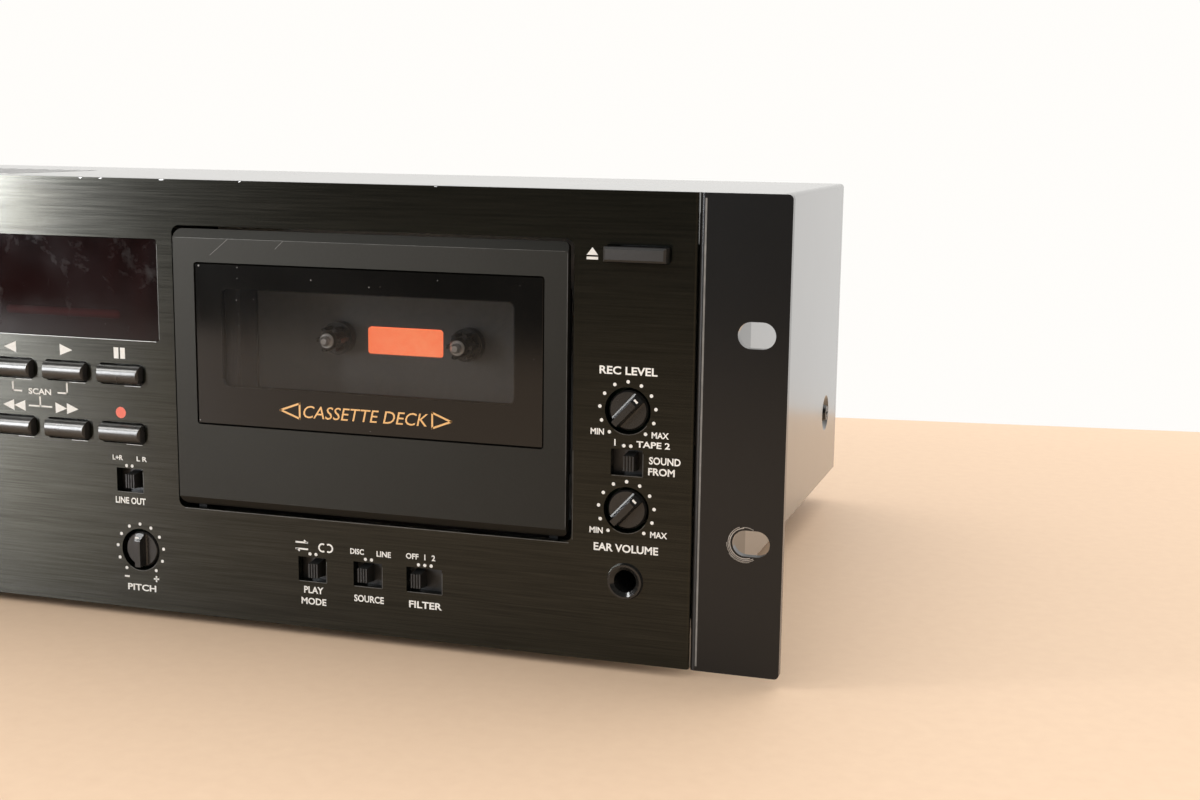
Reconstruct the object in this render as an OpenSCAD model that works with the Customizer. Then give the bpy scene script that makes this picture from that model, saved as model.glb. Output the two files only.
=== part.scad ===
// Rack-mount disc player and cassette deck, three units high.
// Depths run back from the face of the front panel, heights run up from its lower edge,
// and X runs to the right from the panel's centre line.

/* [Front panel] */
// Width over both rack ears
panel_w = 482.6; // [480:0.1:486]
// Height of the panel and of the ears
panel_h = 132.5; // [130:0.1:135]
// Thickness of the brushed front plate
panel_t = 3; // [2.5:0.1:3.5]
// Bevel along the plate's two short edges
panel_bevel = 0.6; // [0.2:0.1:1]
// Width of an ear beyond the case
ear_w = 25.3; // [22:0.1:28]
// Gap between the front plate and each ear
ear_gap = 0.3; // [0.2:0.1:0.6]
// Radius of the spacers that carry the boards
stud_r = 2; // [1.5:0.1:2.2]

/* [Rack ears] */
// Thickness of the bent ear plate
ear_t = 2.5; // [2:0.1:3]
// Depth of the flange that lies along the case
ear_depth = 58; // [54:1:64]
// Outside radius of the bend at the seam
ear_bend_r = 1.5; // [1:0.1:2]
// Radius of the ear's outer corners
ear_corner_r = 1.4; // [1:0.1:4]
// How far the flange stays below and above the panel's edges
ear_trim = 14; // [11:0.5:16]
// Distance between the upper and lower rack slots
slot_pitch_z = 57.15; // [56:0.05:58]
// Distance of a rack slot's middle from the ear's outer edge
slot_edge = 8.75; // [7.5:0.05:10]
// Length of a rack slot
slot_l = 10.4; // [9:0.1:11]
// Height of a rack slot
slot_h = 7.3; // [6.5:0.1:8]
// Depth of the screws through the flange
ear_screw_d = 44; // [40:1:48]
// Height between the two screws of a flange
ear_screw_pitch = 62; // [56:1:66]

/* [Case] */
// Depth from the panel's face to the rear panel's outer face
case_d = 241; // [236:1:250]
// How far the cover's top lies below the panel's upper edge
cover_drop = 4.5; // [3.5:0.1:6]
// Height of the case's underside above the panel's lower edge
case_bottom = 10; // [9:0.5:10.5]
// Thickness of the sheet metal
sheet = 1; // [0.8:0.1:1.2]
// Clearance between the cover and what it slides over
cover_gap = 0.2; // [0.1:0.05:0.4]
// Outside radius of the cover's bends
cover_bend_r = 1.6; // [1.5:0.1:3]
// Height of the cover's lower edges above the case's underside
cover_lift = 1; // [0.5:0.1:1.5]
// Number of vent slots over the transformer
vent_count = 9; // [5:1:11]
// Length of a vent slot
vent_l = 60; // [40:1:70]
// Width of a vent slot
vent_w = 3; // [2:0.1:4]
// Spacing of the vent slots
vent_pitch = 8; // [6:0.5:9]
// Distance of the vents' middle from the centre line
vent_x = 135; // [120:1:150]
// Height of a foot
foot_h = 12.8; // [12:0.1:15]
// Radius of a foot
foot_r = 11; // [9:0.5:13]
// Depth of the front feet
foot_front_d = 40; // [30:1:50]
// Distance of the rear feet from the rear
foot_back = 36; // [28:1:50]
// Distance of the feet from the case's sides
foot_side = 44; // [30:1:60]
// Height of the screw in each side of the cover
side_screw_z = 38; // [32:1:46]
// Distance of that screw from the rear
side_screw_back = 26; // [20:1:28]
// Radius of the drawn dimple round a side screw
dimple_r = 7; // [6:0.1:7.5]
// Depth of the drawn dimple
dimple_d = 1.6; // [1.2:0.1:1.8]
// Radius of a case screw's thread
screw_r = 1.9; // [1.7:0.05:2.0]
// Radius of a case screw's head
screw_head_r = 3.6; // [3.2:0.1:4]
// Height of a case screw's head
screw_head_h = 2.2; // [1.8:0.1:2.6]
// Length of a case screw below its head
screw_l = 8; // [7:0.5:10]
// Clearance round a screw in its holes
screw_gap = 0.2; // [0.1:0.05:0.3]

/* [Keys] */
// Width of a key
key_w = 14.4; // [13.6:0.1:14.8]
// Height of a key
key_h = 5.6; // [5:0.1:6]
// How far a key stands out of the panel
key_proud = 3; // [2.9:0.1:3.4]
// Clearance round a key in its hole
key_gap = 0.5; // [0.3:0.05:0.6]
// Travel of a key
key_travel = 0.8; // [0.5:0.1:0.9]
// Spacing of the key columns
key_pitch = 19.4; // [19.2:0.1:20]
// Height of the upper row of keys
key_row_high = 73.2; // [72.5:0.1:74]
// Height of the lower row of keys
key_row_low = 55.1; // [54:0.1:57]
// Distance of the last column of tape keys from the display's right edge
tape_key_edge = 13.6; // [12:0.1:15]
// Drop from the drawer's lower edge to the upper row of disc keys
disc_key_drop = 14.8; // [13:0.1:18]
// Width of the eject button
eject_w = 17.6; // [16:0.1:18]
// Height of the eject button
eject_h = 4; // [3.6:0.1:4.4]
// How far the eject button stands out
eject_proud = 4; // [3.6:0.1:4.6]
// Distance of the eject button's middle from the case's right side
eject_edge = 16.85; // [16:0.05:20]
// Distance of the eject button's middle from the panel's upper edge
eject_drop = 17.1; // [15:0.1:20]
// Travel of the eject button
eject_travel = 2.5; // [2:0.1:2.8]
// Width of the power button
power_w = 13; // [11:0.1:14]
// Height of the power button
power_h = 8; // [7:0.1:9]
// Distance of the power button's middle from the case's left side
power_edge = 20; // [18:0.1:26]
// Height of the power button's centre
power_z = 24; // [23.8:0.1:26]

/* [Knobs and switches] */
// Radius of a knob
knob_r = 5.65; // [5.4:0.05:5.8]
// Clearance round a knob in the panel
knob_gap = 0.95; // [0.4:0.05:1.1]
// Depth of a knob's face behind the panel's face
knob_sink = 0.6; // [0.2:0.1:1]
// Width of the top of the grip bar across a knob
knob_bar_w = 1.85; // [1.4:0.05:2.4]
// Height of the grip bar above the knob's face
knob_bar_h = 2.6; // [2:0.1:3]
// Turn of the two level knobs from straight up
knob_turn = 43; // [0:1:90]
// Radius of a control's shaft
shaft_r = 3; // [2.5:0.1:3.1]
// Running clearance of a turning shaft
run_gap = 0.05; // [0.03:0.01:0.08]
// Distance of the two level knobs from the case's right side
level_edge = 19.05; // [18:0.05:20]
// Distance of the speed knob from the display's right edge
speed_edge = 8.75; // [8:0.05:10]
// Height of the upper level knob
level_z = 72.25; // [71.5:0.05:73]
// Height of the lower level knob
phones_z = 44.2; // [43.4:0.05:45]
// Height of the speed knob
speed_z = 18.7; // [18.4:0.1:19.5]
// Width of a two-way switch window
window_w = 9.2; // [8.8:0.1:9.6]
// Height of a switch window
window_h = 7.4; // [7:0.1:7.8]
// Distance between two settings of a switch
switch_step = 2; // [1.6:0.1:2.2]
// Width of a switch lever
lever_w = 3; // [2.6:0.1:3.2]
// Height of a switch lever
lever_h = 4.2; // [4:0.1:5]
// How far a lever stands out of the panel
lever_proud = 1.6; // [0.5:0.1:2]
// Radius of the headphone jack's bore
jack_r = 3.25; // [3.2:0.05:3.4]
// Radius of the jack's collar
jack_collar_r = 5.3; // [5.1:0.1:5.6]
// Height of the jack
jack_z = 23.75; // [23.4:0.05:24.2]
// Length of the jack's body behind the panel
jack_l = 22; // [21:0.5:25]

/* [Display] */
// Gap round the window in its opening
display_gap = 0.15; // [0.1:0.05:0.3]
// Distance of the display from the cassette bay
display_bay_gap = 5.3; // [4:0.1:7]
// Distance of the display from the drawer's front
display_tray_gap = 12.05; // [9:0.05:16]
// Rise from the upper row of keys to the display's lower edge
display_rise = 10.7; // [9:0.1:13]
// Distance of the display from the panel's upper edge
display_top_edge = 17.8; // [15:0.1:20]

/* [Cassette bay] */
// Width between the holder's cheeks, for a cassette
cassette_w = 106.4; // [104:0.1:110]
// Distance of the bay from the case's right side
bay_edge = 34.95; // [34:0.05:38]
// Distance of the bay from the panel's upper edge
bay_top_edge = 13.4; // [12:0.1:15]
// Room between the hinge lugs and the bay's sides
bay_side = 5.15; // [4:0.05:6]
// Lower edge of the opening for the door
bay_z = 33.5; // [33.3:0.1:34]
// Corner radius of the opening
bay_r = 2.5; // [1.5:0.1:3]
// Gap at the door's two sides
door_gap_x = 1.3; // [1:0.05:1.6]
// Gap above the door
door_gap_top = 0.9; // [0.7:0.05:1.2]
// Gap below the door
door_gap_low = 1.4; // [1.35:0.05:1.8]
// Thickness of the door
door_t = 2.5; // [2.4:0.1:2.7]
// How far the door stands out of the panel
door_proud = 1.5; // [1.4:0.1:1.8]
// Height of the slopes along the door's upper and lower edges
door_bevel = 2.5; // [1.6:0.1:3]
// Lower edge of the lens
lens_z = 60.1; // [59:0.1:62]
// Margin of the door beside the lens
lens_side = 6.95; // [5:0.05:9]
// Margin of the door above the lens
lens_top_edge = 9.8; // [8:0.1:12]
// Thickness of the lens
lens_t = 1.8; // [1.6:0.1:1.8]
// Height of the clear part's lower edge
clear_z = 72; // [70:0.5:73]
// Margin of the lens beside its clear part
clear_side = 8.8; // [7:0.1:11]
// Margin of the lens above its clear part
clear_top_edge = 7.4; // [6:0.1:9]
// Depth of the hinge behind the panel's face
hinge_d = 3.6; // [3.5:0.1:3.9]
// Height of the hinge
hinge_z = 36.5; // [36.2:0.1:36.7]
// Radius of a hinge pin
hinge_r = 1.2; // [1:0.05:1.3]
// Radius of a hinge eye
eye_r = 2.2; // [2:0.1:2.3]
// Thickness of the bay's moulded walls
bay_wall = 1.6; // [1.2:0.1:1.8]
// Depth of the deck plate's face
deck_d = 27.5; // [27:0.1:30]
// Distance between the reel spindles
reel_pitch = 42.5; // [42:0.1:43]
// Height of the reel spindles
reel_z = 84.5; // [84:0.1:85]
// Distance between the capstans
capstan_pitch = 49; // [48:0.1:50]
// Height of the capstans
capstan_z = 59.5; // [59:0.1:60]
// Radius of a capstan
capstan_r = 1.25; // [1:0.05:1.4]
// Radius of a flywheel
flywheel_r = 22; // [20:0.5:22.5]
// Radius of the motor pulley
pulley_r = 5; // [4:0.1:6]
// Rise of the head block into play
head_travel = 9; // [8:0.5:9.5]
// Radius of a pinch roller
roller_r = 5.5; // [5:0.1:5.8]

/* [Disc drawer] */
// Distance of the loader from the case's left side
loader_edge = 10.7; // [9.5:0.1:14]
// Distance of the drawer's lower edge from the panel's upper edge
tray_front_drop = 44.5; // [43:0.1:47]
// Overhang of the drawer's front at each side of the tray
tray_front_over = 4; // [3:0.1:5]
// Height of the drawer's front
tray_front_h = 22; // [20:0.5:22.5]
// Gap round the drawer's front
tray_gap = 0.5; // [0.4:0.05:0.7]
// Thickness of the sliding tray
tray_t = 10; // [9.5:0.1:11]
// Radius of the disc's seat
disc_r = 60.5; // [60.2:0.1:61]
// Radius of the inner seat for a small disc
small_disc_r = 40.5; // [40.2:0.1:41]
// Margin of the tray beside the disc
tray_side = 3.5; // [3:0.1:5]
// Margin of the tray before the disc
tray_nose = 5; // [4:0.5:7]
// Margin of the tray behind the disc
tray_tail = 24; // [20:1:30]
// Depth of the runner groove in the tray's sides
groove_depth = 2.8; // [2:0.1:3]
// Depth of the disc's seat
disc_seat = 4.6; // [4.3:0.1:5]
// Travel of the drawer
tray_travel = 130; // [110:1:134]
// Travel of the optical pickup
pickup_travel = 24; // [20:1:26]

/* [Rear] */
// Distance of the socket block's middle from the case's right side
socket_edge = 96; // [70:1:120]
// Distance of the mains inlet's middle from the case's left side
inlet_edge = 46; // [40:1:60]
// Height of the socket block's centre
socket_z = 44; // [40:1:60]
// Spacing of the sockets
socket_pitch = 14; // [13:0.5:16]
// Number of socket columns
socket_columns = 4; // [2:1:5]
// How far the sockets stand out
socket_proud = 9; // [8:0.5:11]
// Radius of a socket's ring
socket_r = 4.2; // [4:0.1:4.4]
// Height of the mains inlet
inlet_z = 42; // [36:1:60]

/* [Hidden] */
$fn = 48;
// Small overshoot of a cut
cut = 1;
// Thin gap between pieces on different bodies
part_gap = 0.3;
vent_back = 12;
flange_back = 1;

// Frame: the middle of the depth and the soles of the feet are at the origin
front_y = -(case_d + socket_proud - eject_proud) / 2;
panel_lift = foot_h - case_bottom;

// Case
case_w = panel_w - 2 * ear_w;
case_top = panel_h - cover_drop;
slot_pitch_x = panel_w - 2 * slot_edge;
foot_x = case_w / 2 - foot_side;
foot_rear_d = case_d - foot_back;
side_screw_d = case_d - side_screw_back;
cover_in_w = case_w - 2 * sheet;
chassis_w = cover_in_w - 2 * cover_gap;
cover_bottom = case_bottom + cover_lift;
chassis_top = case_top - cover_bend_r - cover_gap;
chassis_floor = case_bottom + sheet;
wall_d = side_screw_d - dimple_r - 3;
rear_flange_x = cover_in_w / 2 - dimple_d - cover_gap;
main_panel_w = case_w - 2 * ear_gap;
screw_hole_r = screw_r + screw_gap;
tab_w = 7.8;
foot_stem_r = 3.8;
foot_hole_gap = 0.2;
foot_stem_l = 4;

// Layout of the panel from its edges
holder_x = cassette_w / 2;
holder_t = 1.6;
lug_x = holder_x + holder_t + 0.5;
lug_t = 2.6;
bay_w = 2 * (lug_x + lug_t + bay_side);
bay_h = panel_h - bay_top_edge - bay_z;
tape_x = case_w / 2 - bay_edge - bay_w / 2;
rail_wall = 3;
tray_w = 2 * (disc_r + tray_side);
tray_l = tray_nose + 2 * disc_r + tray_tail;
tray_front_w = tray_w + 2 * tray_front_over;
tray_front_z = panel_h - tray_front_drop;
loader_in_w = tray_w + 2 * part_gap;
loader_w = loader_in_w + 2 * rail_wall;
tray_x = loader_edge + (loader_w - case_w) / 2;
display_right = tape_x - bay_w / 2 - display_bay_gap;
display_w = display_right - tray_x - tray_front_w / 2 - display_tray_gap;
display_x = display_right - display_w / 2;
display_z = key_row_high + display_rise;
display_h = panel_h - display_top_edge - display_z;
tape_key_x = display_right - tape_key_edge - 3 * key_pitch;
disc_key_x = tray_x - key_pitch;
disc_row_high = tray_front_z - disc_key_drop;
disc_row_low = disc_row_high + key_row_low - key_row_high;
eject_x = case_w / 2 - eject_edge;
eject_z = panel_h - eject_drop;
power_x = power_edge - case_w / 2;
level_x = case_w / 2 - level_edge;
speed_x = display_right - speed_edge;
tab_top = eject_z - 11.4;

// Boards behind the panel
board_gap = 9;
board_t = 1.6;
board_d = panel_t + board_gap;
board_edge = 4;
// Margin of the display tube inside the window
tube_edge_x = 15.6;
tube_edge_z = 6;
bay_in_w = bay_w + 0.9;
bay_out_w = bay_in_w + 2 * bay_wall;
bay_in_z = bay_z - 0.4;
bay_in_top = bay_z + bay_h + 0.4;
bay_left = tape_x - bay_out_w / 2;
bay_right = tape_x + bay_out_w / 2;
tab_x = chassis_w / 2 - tab_w;
// Each switch: centre, height, settings, and the setting at rest from -1 to 1
output_sw = [display_right - 11.75, 40.4, 2, 1];
mode_sw = [tape_x - 18.35, 17.95, 2, 1];
input_sw = [tape_x - 0.25, 18.05, 2, -1];
filter_sw = [tape_x + 17.8, 18, 3, -1];
phones_sw = [level_x - 0.1, 57.7, 2, 1];
SWITCHES = [output_sw, mode_sw, input_sw, filter_sw, phones_sw];
// Each board: left, right, lower and upper edge
main_key_board = [tape_key_x - 40, bay_left - 1.3, key_row_low - 22, panel_h - 7];
level_board = [bay_right + 1.4, tab_x - 0.5, phones_z - 10.2, eject_z - 9.4];
switch_board = [speed_x - 12, filter_sw[0] + 18.2, chassis_floor + 0.6, bay_in_z - bay_wall - 1];
disc_key_board = [disc_key_x - 18, disc_key_x + 2 * key_pitch + 18, disc_row_low - 12, disc_row_high + 8.8];
power_board = [power_x - 9, power_x + 20, chassis_floor + 0.6, power_z + 14];
BOARDS = [main_key_board, level_board, switch_board, disc_key_board, power_board];

// Keys and switches
hole_r = 1.2;
eject_reach = 3.5;
key_flange_w = 1.4;
key_flange_t = 1.2;
key_tail = board_d - panel_t - 6;
tact_h = board_gap - key_tail - key_travel - 0.6;
tact_w = 6;
tape_cols = [for (i = [0 : 3]) tape_key_x + i * key_pitch];
disc_cols = [for (i = [0 : 2]) disc_key_x + i * key_pitch];
TAPE_KEYS = [
    [tape_cols[0], key_row_high],
    [tape_cols[1], key_row_high],
    [tape_cols[2], key_row_high],
    [tape_cols[3], key_row_high],
    [tape_cols[1], key_row_low],
    [tape_cols[2], key_row_low],
    [tape_cols[3], key_row_low]
];
DISC_KEYS = [
    [disc_cols[0], disc_row_high],
    [disc_cols[1], disc_row_high],
    [disc_cols[2], disc_row_high],
    [disc_cols[0], disc_row_low],
    [disc_cols[1], disc_row_low]
];
KNOBS = [[level_x, level_z], [level_x, phones_z], [speed_x, speed_z]];
pot_r = 6;
pot_l = 4.5;
// Rim bevel, flank and foot fillet of a knob, and where its bar starts to slope to the pointer
knob_bevel = 0.5;
knob_flank = 0.65;
knob_fillet_w = 0.45;
knob_fillet_h = 0.26;
pointer_z = 3;
shaft_end = 0.6;
skirt_gap = 0.4;
lever_plate_t = 1;
lever_plate_d = panel_t + part_gap + 0.1;
switch_body_d = lever_plate_d + lever_plate_t + 0.4;
jack_barrel_r = 4.4;
jack_proud = 1;
jack_cone_w = 1.1;
jack_cone_h = 0.9;
jack_body_w = 13;
jack_body_h = 14.6;

// Cassette bay
door_w = bay_w - 2 * door_gap_x;
door_h = bay_h - door_gap_top - door_gap_low;
door_z = bay_z + door_gap_low;
door_back = door_t - door_proud;
door_top = door_z + door_h;
door_r = 2;
door_edge_t = 0.5;
lens_gap = 0.15;
lens_sink = 0.1;
lens_r = 1;
lens_bevel = 0.4;
clear_r = 2;
lens_w = door_w - 2 * lens_side;
lens_h = door_top - lens_top_edge - lens_z;
clear_w = lens_w - 2 * clear_side;
clear_h = lens_z + lens_h - clear_top_edge - clear_z;
holder_top = door_top - 7.7;
holder_back = deck_d - 4.5;
deck_t = 1.5;
deck_w = bay_out_w + 2;
boss_r = 3;
boss_proud = 3;
hub_l = 1.5;
lug_root = 0.5;
backlight_w = 24.5;
backlight_h = 8.1;
backlight_gap = 0.2;
backlight_z = reel_z - 0.5;
head_plate_d = deck_d - part_gap - 2.8;
guide_r = 1.5;
guide_x = 33;
guide_z = 51;
guide_l = 4;
guide_edge = 5;
head_plate_top = guide_z + 4;
head_w = 12.4;
head_l = 11;
head_crown_r = 9;
fork_t = 1.6;
axle_r = 1;
axle_l = 10.4;
roller_l = 9;
roller_x = capstan_pitch / 2;
roller_z = capstan_z - capstan_r - roller_r - 0.35 - head_travel;
reel_disc_d = deck_d + deck_t + 4.5;
flywheel_d = reel_disc_d + 4;
flywheel_t = 8;
bridge_d = flywheel_d + flywheel_t + 3;
bridge_t = 1.5;
bridge_edge = 3;
bridge_above = 24;
bridge_post_r = 2.5;
bridge_post_edge = 8;
belt_t = 1;
belt_w = 4;
belt_gap = 0.3;
// Motor's place from the middle between the capstans
motor_x = 52;
motor_z = -22;
motor_r = 15;
motor_l = 24;
motor_hub_r = 4;
motor_hub_l = 2;
motor_shaft_r = 1;

// Disc drawer
tray_z = tray_front_z + (tray_front_h - tray_t) / 2;
tray_top = tray_z + tray_t;
tray_d = panel_t + 0.6;
tray_front_t = tray_d + door_proud;
disc_d = tray_d + tray_nose + disc_r;
slot_r = 20;
groove_z = 3.5;
groove_h = 2;
loader_d = board_d + board_t + 2.4;
loader_end = tray_d + tray_l + 46;
loader_floor = tray_z - 18;
loader_floor_t = 2;
bridge_clear = 2.6;
bridge_rise = 3.4;
bridge_bar_t = 2.6;
bridge_half = 14;
puck_r = 12.5;
puck_neck_r = 9.1;
puck_t = 2;
puck_gap = 0.8;
spin_motor_r = 12;
spin_motor_h = 10;
spin_shaft_r = 1.5;
spin_shaft_l = 7;
spin_hub_r = 5;
platter_r = 15;
platter_t = 2.5;
cone_r = 7.4;
cone_h = 2;
spindle_top = tray_top - disc_seat - 0.3;
rod_r = 1.5;
rod_x = 12;
rod_z = loader_floor + loader_floor_t + 7;
pickup_d = disc_d + 19;
pickup_l = 22;
post_r = 4;

// Main board and rear connectors
board_rest = case_bottom + 9;
cap_r = 8;
cap_h = 30;
cap_pitch = 22;
fin_count = 7;
fin_pitch = 7;
fin_t = 2;
fin_l = 25;
fin_h = 36;
chip_w = 28;
chip_h = 3;
main_edge = 6;
core_w = 66;
core_t = 22;
core_clear = 10;
core_side = 51;
core_back = 76;
foot_plate_t = 1.5;
main_x0 = tray_x + loader_w / 2 + 20.7;
main_x1 = chassis_w / 2 - 9.8;
socket_x = case_w / 2 - socket_edge;
inlet_x = inlet_edge - case_w / 2;
main_d0 = bridge_d + bridge_t + motor_l + 12;
main_d1 = case_d - 20;
socket_body_l = 12;
socket_bore_r = 1.7;
socket_bore_l = 8;
inlet_l = 20;
inlet_w = 27;
inlet_h = 19.6;
inlet_flange_t = 2.5;
inlet_mouth_w = 24.4;
inlet_mouth_h = 16.4;
inlet_deep = 16;
pin_l = 9;

// Helpers

// Moves a child from a place on the panel's face: right, up and back
module place(x, z, d = 0) {
    translate([x, front_y + d, panel_lift + z]) children();
}

// Extrudes an outline drawn in X and Z backwards by a depth
module slab(t) {
    translate([0, t, 0]) rotate([90, 0, 0]) linear_extrude(t) children();
}

// Extrudes an outline drawn in depth and Z along X, about the middle
module bar_x(l) {
    translate([-l / 2, 0, 0]) rotate([90, 0, 90]) linear_extrude(l) children();
}

// Round bar running backwards
module rod(r, l) {
    rotate([-90, 0, 0]) cylinder(h = l, r = r);
}

// Block from its left, front and lower corner
module block(x0, x1, d0, d1, z0, z1) {
    translate([x0, d0, z0]) cube([x1 - x0, d1 - d0, z1 - z0]);
}

// Outline of a rectangle with round corners, about its middle
module round_rect(w, h, r) {
    square([w, h - 2 * r], center = true);
    square([w - 2 * r, h], center = true);
    for (sx = [-1, 1]) {
        for (sz = [-1, 1]) {
            translate([sx * (w / 2 - r), sz * (h / 2 - r)]) circle(r);
        }
    }
}

// Outline of a slot with full round ends, about its middle
module slot_outline(l, h) {
    square([l - h, h], center = true);
    for (s = [-1, 1]) {
        translate([s * (l - h) / 2, 0]) circle(h / 2);
    }
}

// Plate with a bevel all round its face; the face is at zero depth
module bevelled_plate(w, h, t, b) {
    intersection() {
        bar_x(w) polygon([[0, b - h / 2], [b, -h / 2], [t, -h / 2], [t, h / 2], [b, h / 2], [0, h / 2 - b]]);
        translate([0, 0, -h / 2]) linear_extrude(h)
            polygon([[b - w / 2, 0], [w / 2 - b, 0], [w / 2, b], [w / 2, t], [-w / 2, t], [-w / 2, b]]);
    }
}

// Pan-head screw driven along +X, its head's underside at zero
module case_screw(l) {
    rotate([0, 90, 0]) cylinder(h = l, r = screw_r);
    rotate([0, -90, 0]) difference() {
        cylinder(h = screw_head_h, r1 = screw_head_r, r2 = screw_head_r - 0.8);
        for (turn = [0, 90]) {
            rotate([0, 0, turn]) translate([-screw_head_r / 2, -0.4, screw_head_h - 1.2])
                cube([screw_head_r, 0.8, 1.2 + cut]);
        }
    }
}

// Case

// Folded pan: floor, side walls, two front tabs, and the posts that carry the works
module chassis_base() {
    half = chassis_w / 2;
    rear_d = case_d - sheet;
    color("silver") place(0, 0) difference() {
        union() {
            block(-half, half, panel_t, rear_d, case_bottom, chassis_floor);
            for (s = [-1, 1]) {
                wall_x = s * (half - sheet / 2);
                block(wall_x - sheet / 2, wall_x + sheet / 2, panel_t, wall_d, case_bottom, chassis_top);
                tab_mid = s * (half - tab_w / 2);
                translate([tab_mid, panel_t, case_bottom]) slab(sheet)
                    translate([-tab_w / 2, 0]) square([tab_w, tab_top - case_bottom]);
            }
            for (p = board_posts()) {
                translate([p[0], p[1], case_bottom]) cylinder(h = board_rest - case_bottom, r = 3);
            }
            for (p = loader_posts()) {
                translate([p[0], p[1], case_bottom]) cylinder(h = loader_floor - case_bottom, r = post_r);
            }
        }
        for (x = [-foot_x, foot_x]) {
            for (d = [foot_front_d, foot_rear_d]) {
                translate([x, d, case_bottom - cut])
                    cylinder(h = sheet + 2 * cut, r = foot_stem_r + foot_hole_gap);
            }
        }
        for (z = ear_screw_heights()) {
            translate([-half - cut, ear_screw_d, z]) rotate([0, 90, 0])
                cylinder(h = chassis_w + 2 * cut, r = screw_hole_r);
        }
    }
}

function ear_screw_heights() = [panel_h / 2 - ear_screw_pitch / 2, panel_h / 2 + ear_screw_pitch / 2];

// Drawn dimple, its axis along +Z and its rim at zero
module dimple() {
    floor_r = dimple_r - dimple_d;
    rotate_extrude() polygon([
        [screw_hole_r, -dimple_d - sheet], [floor_r, -dimple_d - sheet], [dimple_r, -sheet],
        [dimple_r, 0], [floor_r, -dimple_d], [screw_hole_r, -dimple_d]
    ]);
}

// Inverted U of painted sheet with vents, screw holes and a dimple in each side
module top_cover() {
    module arch(w, top, r) {
        translate([-w / 2, cover_bottom - cut]) square([w, top - r - cover_bottom + cut]);
        translate([-w / 2 + r, top - 2 * r]) square([w - 2 * r, 2 * r]);
        for (s = [-1, 1]) {
            translate([s * (w / 2 - r), top - r]) circle(r);
        }
    }
    front_d = panel_t + cover_gap;
    color("#24231f") place(0, 0) {
        difference() {
            translate([0, front_d, 0]) slab(case_d - front_d) difference() {
                arch(case_w, case_top, cover_bend_r);
                arch(cover_in_w, case_top - sheet, cover_bend_r - sheet);
                translate([-case_w, cover_bottom - 3 * cut]) square([2 * case_w, 3 * cut]);
            }
            for (i = [0 : vent_count - 1]) {
                x = -vent_x + (i - (vent_count - 1) / 2) * vent_pitch;
                translate([x, wall_d - vent_l / 2 - vent_back, case_top - sheet - cut])
                    linear_extrude(sheet + 2 * cut) rotate(90) slot_outline(vent_l, vent_w);
            }
            for (z = ear_screw_heights()) {
                translate([-case_w, ear_screw_d, z]) rotate([0, 90, 0])
                    cylinder(h = 2 * case_w, r = screw_hole_r);
            }
            translate([-case_w, side_screw_d, side_screw_z]) rotate([0, 90, 0])
                cylinder(h = 2 * case_w, r = dimple_r);
        }
        for (s = [-1, 1]) {
            translate([s * case_w / 2, side_screw_d, side_screw_z]) rotate([0, s * 90, 0]) dimple();
        }
    }
}

// Rear plate with a flange folded forwards at each side for the cover's screws
module rear_panel() {
    half = chassis_w / 2;
    color("#24231f") place(0, 0) difference() {
        union() {
            block(-half, half, case_d - sheet, case_d, chassis_floor, chassis_top);
            for (s = [-1, 1]) {
                mid = s * (rear_flange_x - sheet / 2);
                block(
                    mid - sheet / 2, mid + sheet / 2, wall_d + flange_back, case_d - sheet,
                    chassis_floor, chassis_top
                );
            }
        }
        for (p = sockets()) {
            translate([p[0], case_d - sheet - cut, p[1]]) rod(socket_r + 0.4, sheet + 2 * cut);
        }
        translate([inlet_x, case_d - sheet - cut, inlet_z]) slab(sheet + 2 * cut)
            square([inlet_w + 0.4, inlet_h + 0.4], center = true);
        translate([-case_w, side_screw_d, side_screw_z]) rotate([0, 90, 0])
            cylinder(h = 2 * case_w, r = screw_hole_r);
    }
}

// Front plate with every window
module front_panel() {
    half = main_panel_w / 2;
    color("#26241f") place(0, 0) difference() {
        linear_extrude(panel_h) polygon([
            [panel_bevel - half, 0], [half - panel_bevel, 0], [half, panel_bevel],
            [half, panel_t], [-half, panel_t], [-half, panel_bevel]
        ]);
        translate([0, -cut, 0]) slab(panel_t + 2 * cut) panel_windows();
    }
}

// All openings of the front plate, drawn in X and Z
module panel_windows() {
    for (k = concat(TAPE_KEYS, DISC_KEYS)) {
        translate(k) round_rect(key_w + 2 * key_gap, key_h + 2 * key_gap, hole_r);
    }
    for (k = KNOBS) {
        translate(k) circle(knob_r + knob_gap);
    }
    for (s = SWITCHES) {
        translate([s[0], s[1]]) square([window_w + (s[2] - 2) * switch_step, window_h], center = true);
    }
    translate([eject_x, eject_z]) round_rect(eject_w + 2 * key_gap, eject_h + 2 * key_gap, hole_r);
    translate([power_x, power_z]) round_rect(power_w + 2 * key_gap, power_h + 2 * key_gap, hole_r);
    translate([level_x, jack_z]) circle(jack_barrel_r + 0.2);
    translate([display_x, display_z + display_h / 2]) round_rect(display_w, display_h, 0.6);
    translate([tape_x, bay_z + bay_h / 2]) round_rect(bay_w, bay_h, bay_r);
    translate([tray_x, tray_front_z + tray_front_h / 2])
        round_rect(tray_front_w + 2 * tray_gap, tray_front_h + 2 * tray_gap, 0.8);
}

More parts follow.
